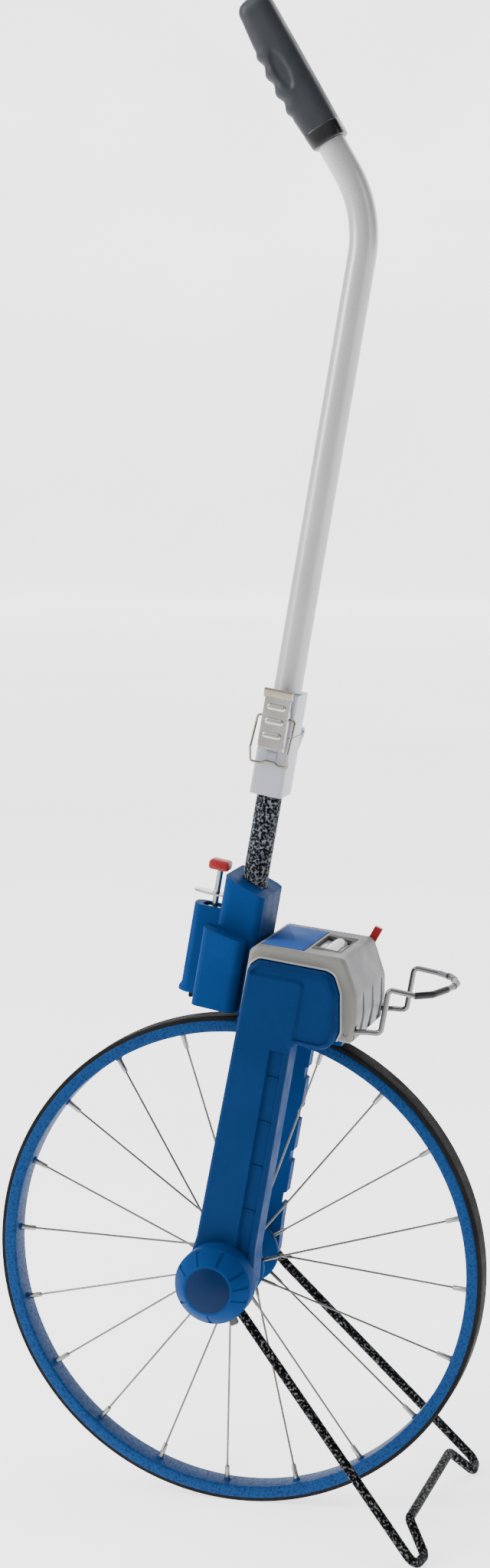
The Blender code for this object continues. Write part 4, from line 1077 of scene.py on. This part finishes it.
def build_brake():
    """Push knob, rod, block and return spring, and the leaf that the rod passes through."""
    centre = (BRAKE_U, 0)
    knob = fillet([(-78, 306.5), (-61.5, 306.5), (-61.5, 314.5), (-78, 314.5)], 2.6, 6)
    half = [(inset(knob, 1.5), -6.4), (inset(knob, 0.5), -5.9), (knob, -4.8)]
    stem = turned('Z', [(2.8, 306.1), (3.9, 306.1), (4.4, 306.5), (4.6, 307.5), (2.8, 307.5)], 32, centre)
    bore = disc('Z', 2.8, 300, 312.3, 32, centre)
    bm = carved(panel('Y', both_sides(half)), [cut(bore), join(stem)])
    piece("brake_button", bm, MAST, RED, "brake", ["brake_knob"], sharp=35)
    rod = [(0, 214.4), (2.5, 214.4), (2.5, 273.8), (5.0, 273.8), (5.2, 274.0), (5.2, 276.2), (5.0, 276.4),
           (2.5, 276.4), (2.5, 312), (0, 312)]
    piece("brake_push_rod", turned('Z', rod, 40, centre), MAST, STEEL, "brake", ["brake_rod"])
    sole = [(-76.6, 200.9), (-61.4, 206.4), (-61.4, 224), (-76.6, 224)]
    bore = disc('Z', 2.8, 214, 230, 24, centre)
    bm = carved(prism('Y', fillet(sole, 1.5, 4), -6.4, 6.4), [cut(bore)])
    piece("brake_block", bm, MAST, TYRE, "brake", ["brake_shoe"], bevel=0.5)
    coil = []
    turns, per_turn, coil_r, coil_foot, coil_length = 6, 24, 4.1, 233.1, 40.0
    for i in range(turns * per_turn + 1):
        angle = 2 * pi * i / per_turn
        rise = coil_length * i / (turns * per_turn)
        coil.append((BRAKE_U + coil_r * cos(angle), coil_r * sin(angle), coil_foot + rise))
    spring = piece("brake_coil", swept(coil, 0.6, 10), MAST, STEEL, "frame", ["brake_spring"])
    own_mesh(spring)
    leaf = fillet([(-56.4, -6.4), (-56.4, 6.4), (-80, 6.4), (-87.5, 3.2), (-87.5, -3.2), (-80, -6.4)],
                  [0.5, 0.5, 6, 4, 4, 6], 6)
    levels = [(inset(leaf, 0.3), 286.4), (leaf, 286.6), (leaf, 287.7), (inset(leaf, 0.3), 287.9)]
    bm = carved(panel('Z', levels), [cut(disc('Z', 3.3, 280, 295, 32, centre))])
    piece("lock_leaf_plate", bm, MAST, STEEL, "lock_leaf", ["lock_leaf"], sharp=35)


# --- stand and front bail ------------------------------------------------------------

def build_kickstand():
    wire_r = 3.75
    low = -(AXLE_HEIGHT - wire_r) - 0.05
    half = [(0, -57.6, 0), (0, -65.2, 0), (LEG_BEND[0], -66.5, LEG_BEND[1]), (168.5, -114, low),
            (171, -91, low), (155, -73.5, -174)]
    bends = [4.6, 8, 8, 8, 8]
    path = rounded(mirrored(half), bends + bends[::-1], 8)
    piece("kickstand_wire", swept(path, wire_r, 28), AXLE, BLACK_HAMMER, "stand", ["kickstand"],
          sharp=60)
    tab = prism('Y', fillet([(29.0, -3.2), (36.5, -3.2), (36.5, 2.6), (29.0, 2.6)], 0.8, 4), -61.8, -66.4)
    tab.transform(Matrix.Rotation(radians(66), 4, 'Y'))
    piece("stand_stop", tab, AXLE, GREY_DARK, "stand", bevel=0.3)


def build_bail():
    u, w = BAIL_PIVOT
    half = [(u, -49.3, w), (u, -44, w), (78, -44, 217.5), (88.5, -44, 219), (88.8, -44, 254),
            (110, -44, 254), (121, -34, 255.5), (128, -17, 257.5), (131, -6, 258.5)]
    path = rounded(mirrored(half), 4.0, 6)
    piece("bail_wire", swept(path, 2.2, 18), MAST, CHROME, "bail", ["front_bail"], sharp=60)
    loop = spaced([p for p in path if p.x > 109], 1.2)
    piece("bail_sleeve", swept(loop, 2.45, 18), MAST, SLEEVE_GREY, "bail", sharp=60)
    bands = bmesh.new()
    for first, last in ((0.0, 0.34), (0.42, 0.55), (0.74, 0.9)):
        swept(loop[int(first * len(loop)):int(last * len(loop))], 2.8, 18, bm=bands)
    piece("bail_bands", bands, MAST, SLEEVE, "bail", sharp=60)


build_tyre()
build_rim()
build_spokes()
build_hub()
build_near_cover()
build_near_arm()
build_far_arm()
build_caps()
build_frame_head()
build_counter_box()
build_counter_top()
build_drums()
build_lower_shaft()
build_brackets()
build_latch()
build_upper_tube()
build_grip()
build_brake()
build_kickstand()
build_bail()

paint(STEEL, "axle", "counter_shaft")
paint(NYLON, "drive_pulley", "transfer_gear")
paint(BUSH, "bush_near", "bush_far")
paint(BELT, "belt")
paint(RED, "reset_lever", bevel=0.5)


# --- camera, light and floor ---------------------------------------------------------

CAMERA_PLACE = (0.645576, -2.20386, 0.896929)
CAMERA_AHEAD = (-0.27503403, 0.95171341, -0.13637399)
CAMERA_ROLL_DEG = -0.6332
CAMERA_LENS = 68.09


def build_camera():
    """Camera in front of the object, to its right and a little above it."""
    data = bpy.data.cameras.new("camera")
    data.sensor_fit = 'VERTICAL'
    data.sensor_height = 36.0
    data.lens = CAMERA_LENS
    data.clip_start = 0.05
    camera = bpy.data.objects.new("camera", data)
    scene.collection.objects.link(camera)
    ahead = Vector(CAMERA_AHEAD).normalized()
    level = ahead.cross(Vector((0, 0, 1))).normalized()
    roll = radians(CAMERA_ROLL_DEG)
    right = level * cos(roll) + level.cross(ahead) * sin(roll)
    up = right.cross(ahead)
    matrix = Matrix((right, up, -ahead)).transposed().to_4x4()
    matrix.translation = CAMERA_PLACE
    camera.matrix_world = matrix
    scene.camera = camera


def build_floor():
    """Floor and backdrop in one sweep, which glows behind the object and not before it."""
    near, far, bend, top, half_width = -12.0, 9.0, 1.5, 9.0, 12.0
    bm = bmesh.new()
    section = [(near, 0.0), (far, 0.0)]
    section += [(far + bend * sin(radians(a)), bend - bend * cos(radians(a))) for a in range(10, 91, 10)]
    section.append((far + bend, top))
    rows = [[bm.verts.new((x, y, z)) for y, z in section] for x in (-half_width, half_width)]
    for k in range(len(section) - 1):
        bm.faces.new((rows[0][k], rows[1][k], rows[1][k + 1], rows[0][k + 1]))
    floor = as_object("floor", bm)
    floor.data.shade_smooth()
    mat, tree, shader = new_material("look_floor", 0.9)
    tone = ramp(tree, noise(tree, 1.5, 2.0), (0.3, 0.88), (0.7, 0.92))
    tree.links.new(tone, shader.inputs["Base Color"])
    tree.links.new(tone, shader.inputs["Emission Color"])
    glow = map_range(tree, along_y(tree), -1.3, -0.7, 0.1, 2.1)
    tree.links.new(glow, shader.inputs["Emission Strength"])
    floor.data.materials.append(mat)


def area_light(name, place, target, size, power):
    data = bpy.data.lights.new(name, 'AREA')
    data.shape = 'RECTANGLE'
    data.size, data.size_y = size
    data.energy = power
    lamp = bpy.data.objects.new(name, data)
    scene.collection.objects.link(lamp)
    lamp.location = place
    aim = Vector(target) - Vector(place)
    lamp.rotation_euler = aim.to_track_quat('-Z', 'Y').to_euler()


def build_light():
    """Sky that is bright on the upper left and dim elsewhere, and three soft boxes."""
    world = bpy.data.worlds.new("studio")
    scene.world = world
    world.use_nodes = True
    tree = world.node_tree
    coord = tree.nodes.new("ShaderNodeTexCoord")
    facing = tree.nodes.new("ShaderNodeVectorMath")
    facing.operation = 'DOT_PRODUCT'
    facing.inputs[1].default_value = Vector((-0.8, -0.25, 0.45)).normalized()
    tree.links.new(coord.outputs["Generated"], facing.inputs[0])
    tone = ramp(tree, map_range(tree, facing.outputs["Value"], -1.0, 1.0), (0.35, 0.06), (0.85, 1.0))
    back = tree.nodes["Background"]
    tree.links.new(tone, back.inputs["Color"])
    back.inputs["Strength"].default_value = 1.1
    area_light("key", (-2.6, -1.6, 2.2), (0, 0, 0.55), (1.2, 2.6), 130)
    area_light("right", (2.6, -0.9, 1.5), (0, 0, 0.5), (1.0, 2.2), 14)
    area_light("top", (-0.3, 0.4, 3.4), (0, 0, 0.4), (2.0, 2.0), 40)


build_camera()
build_floor()
build_light()
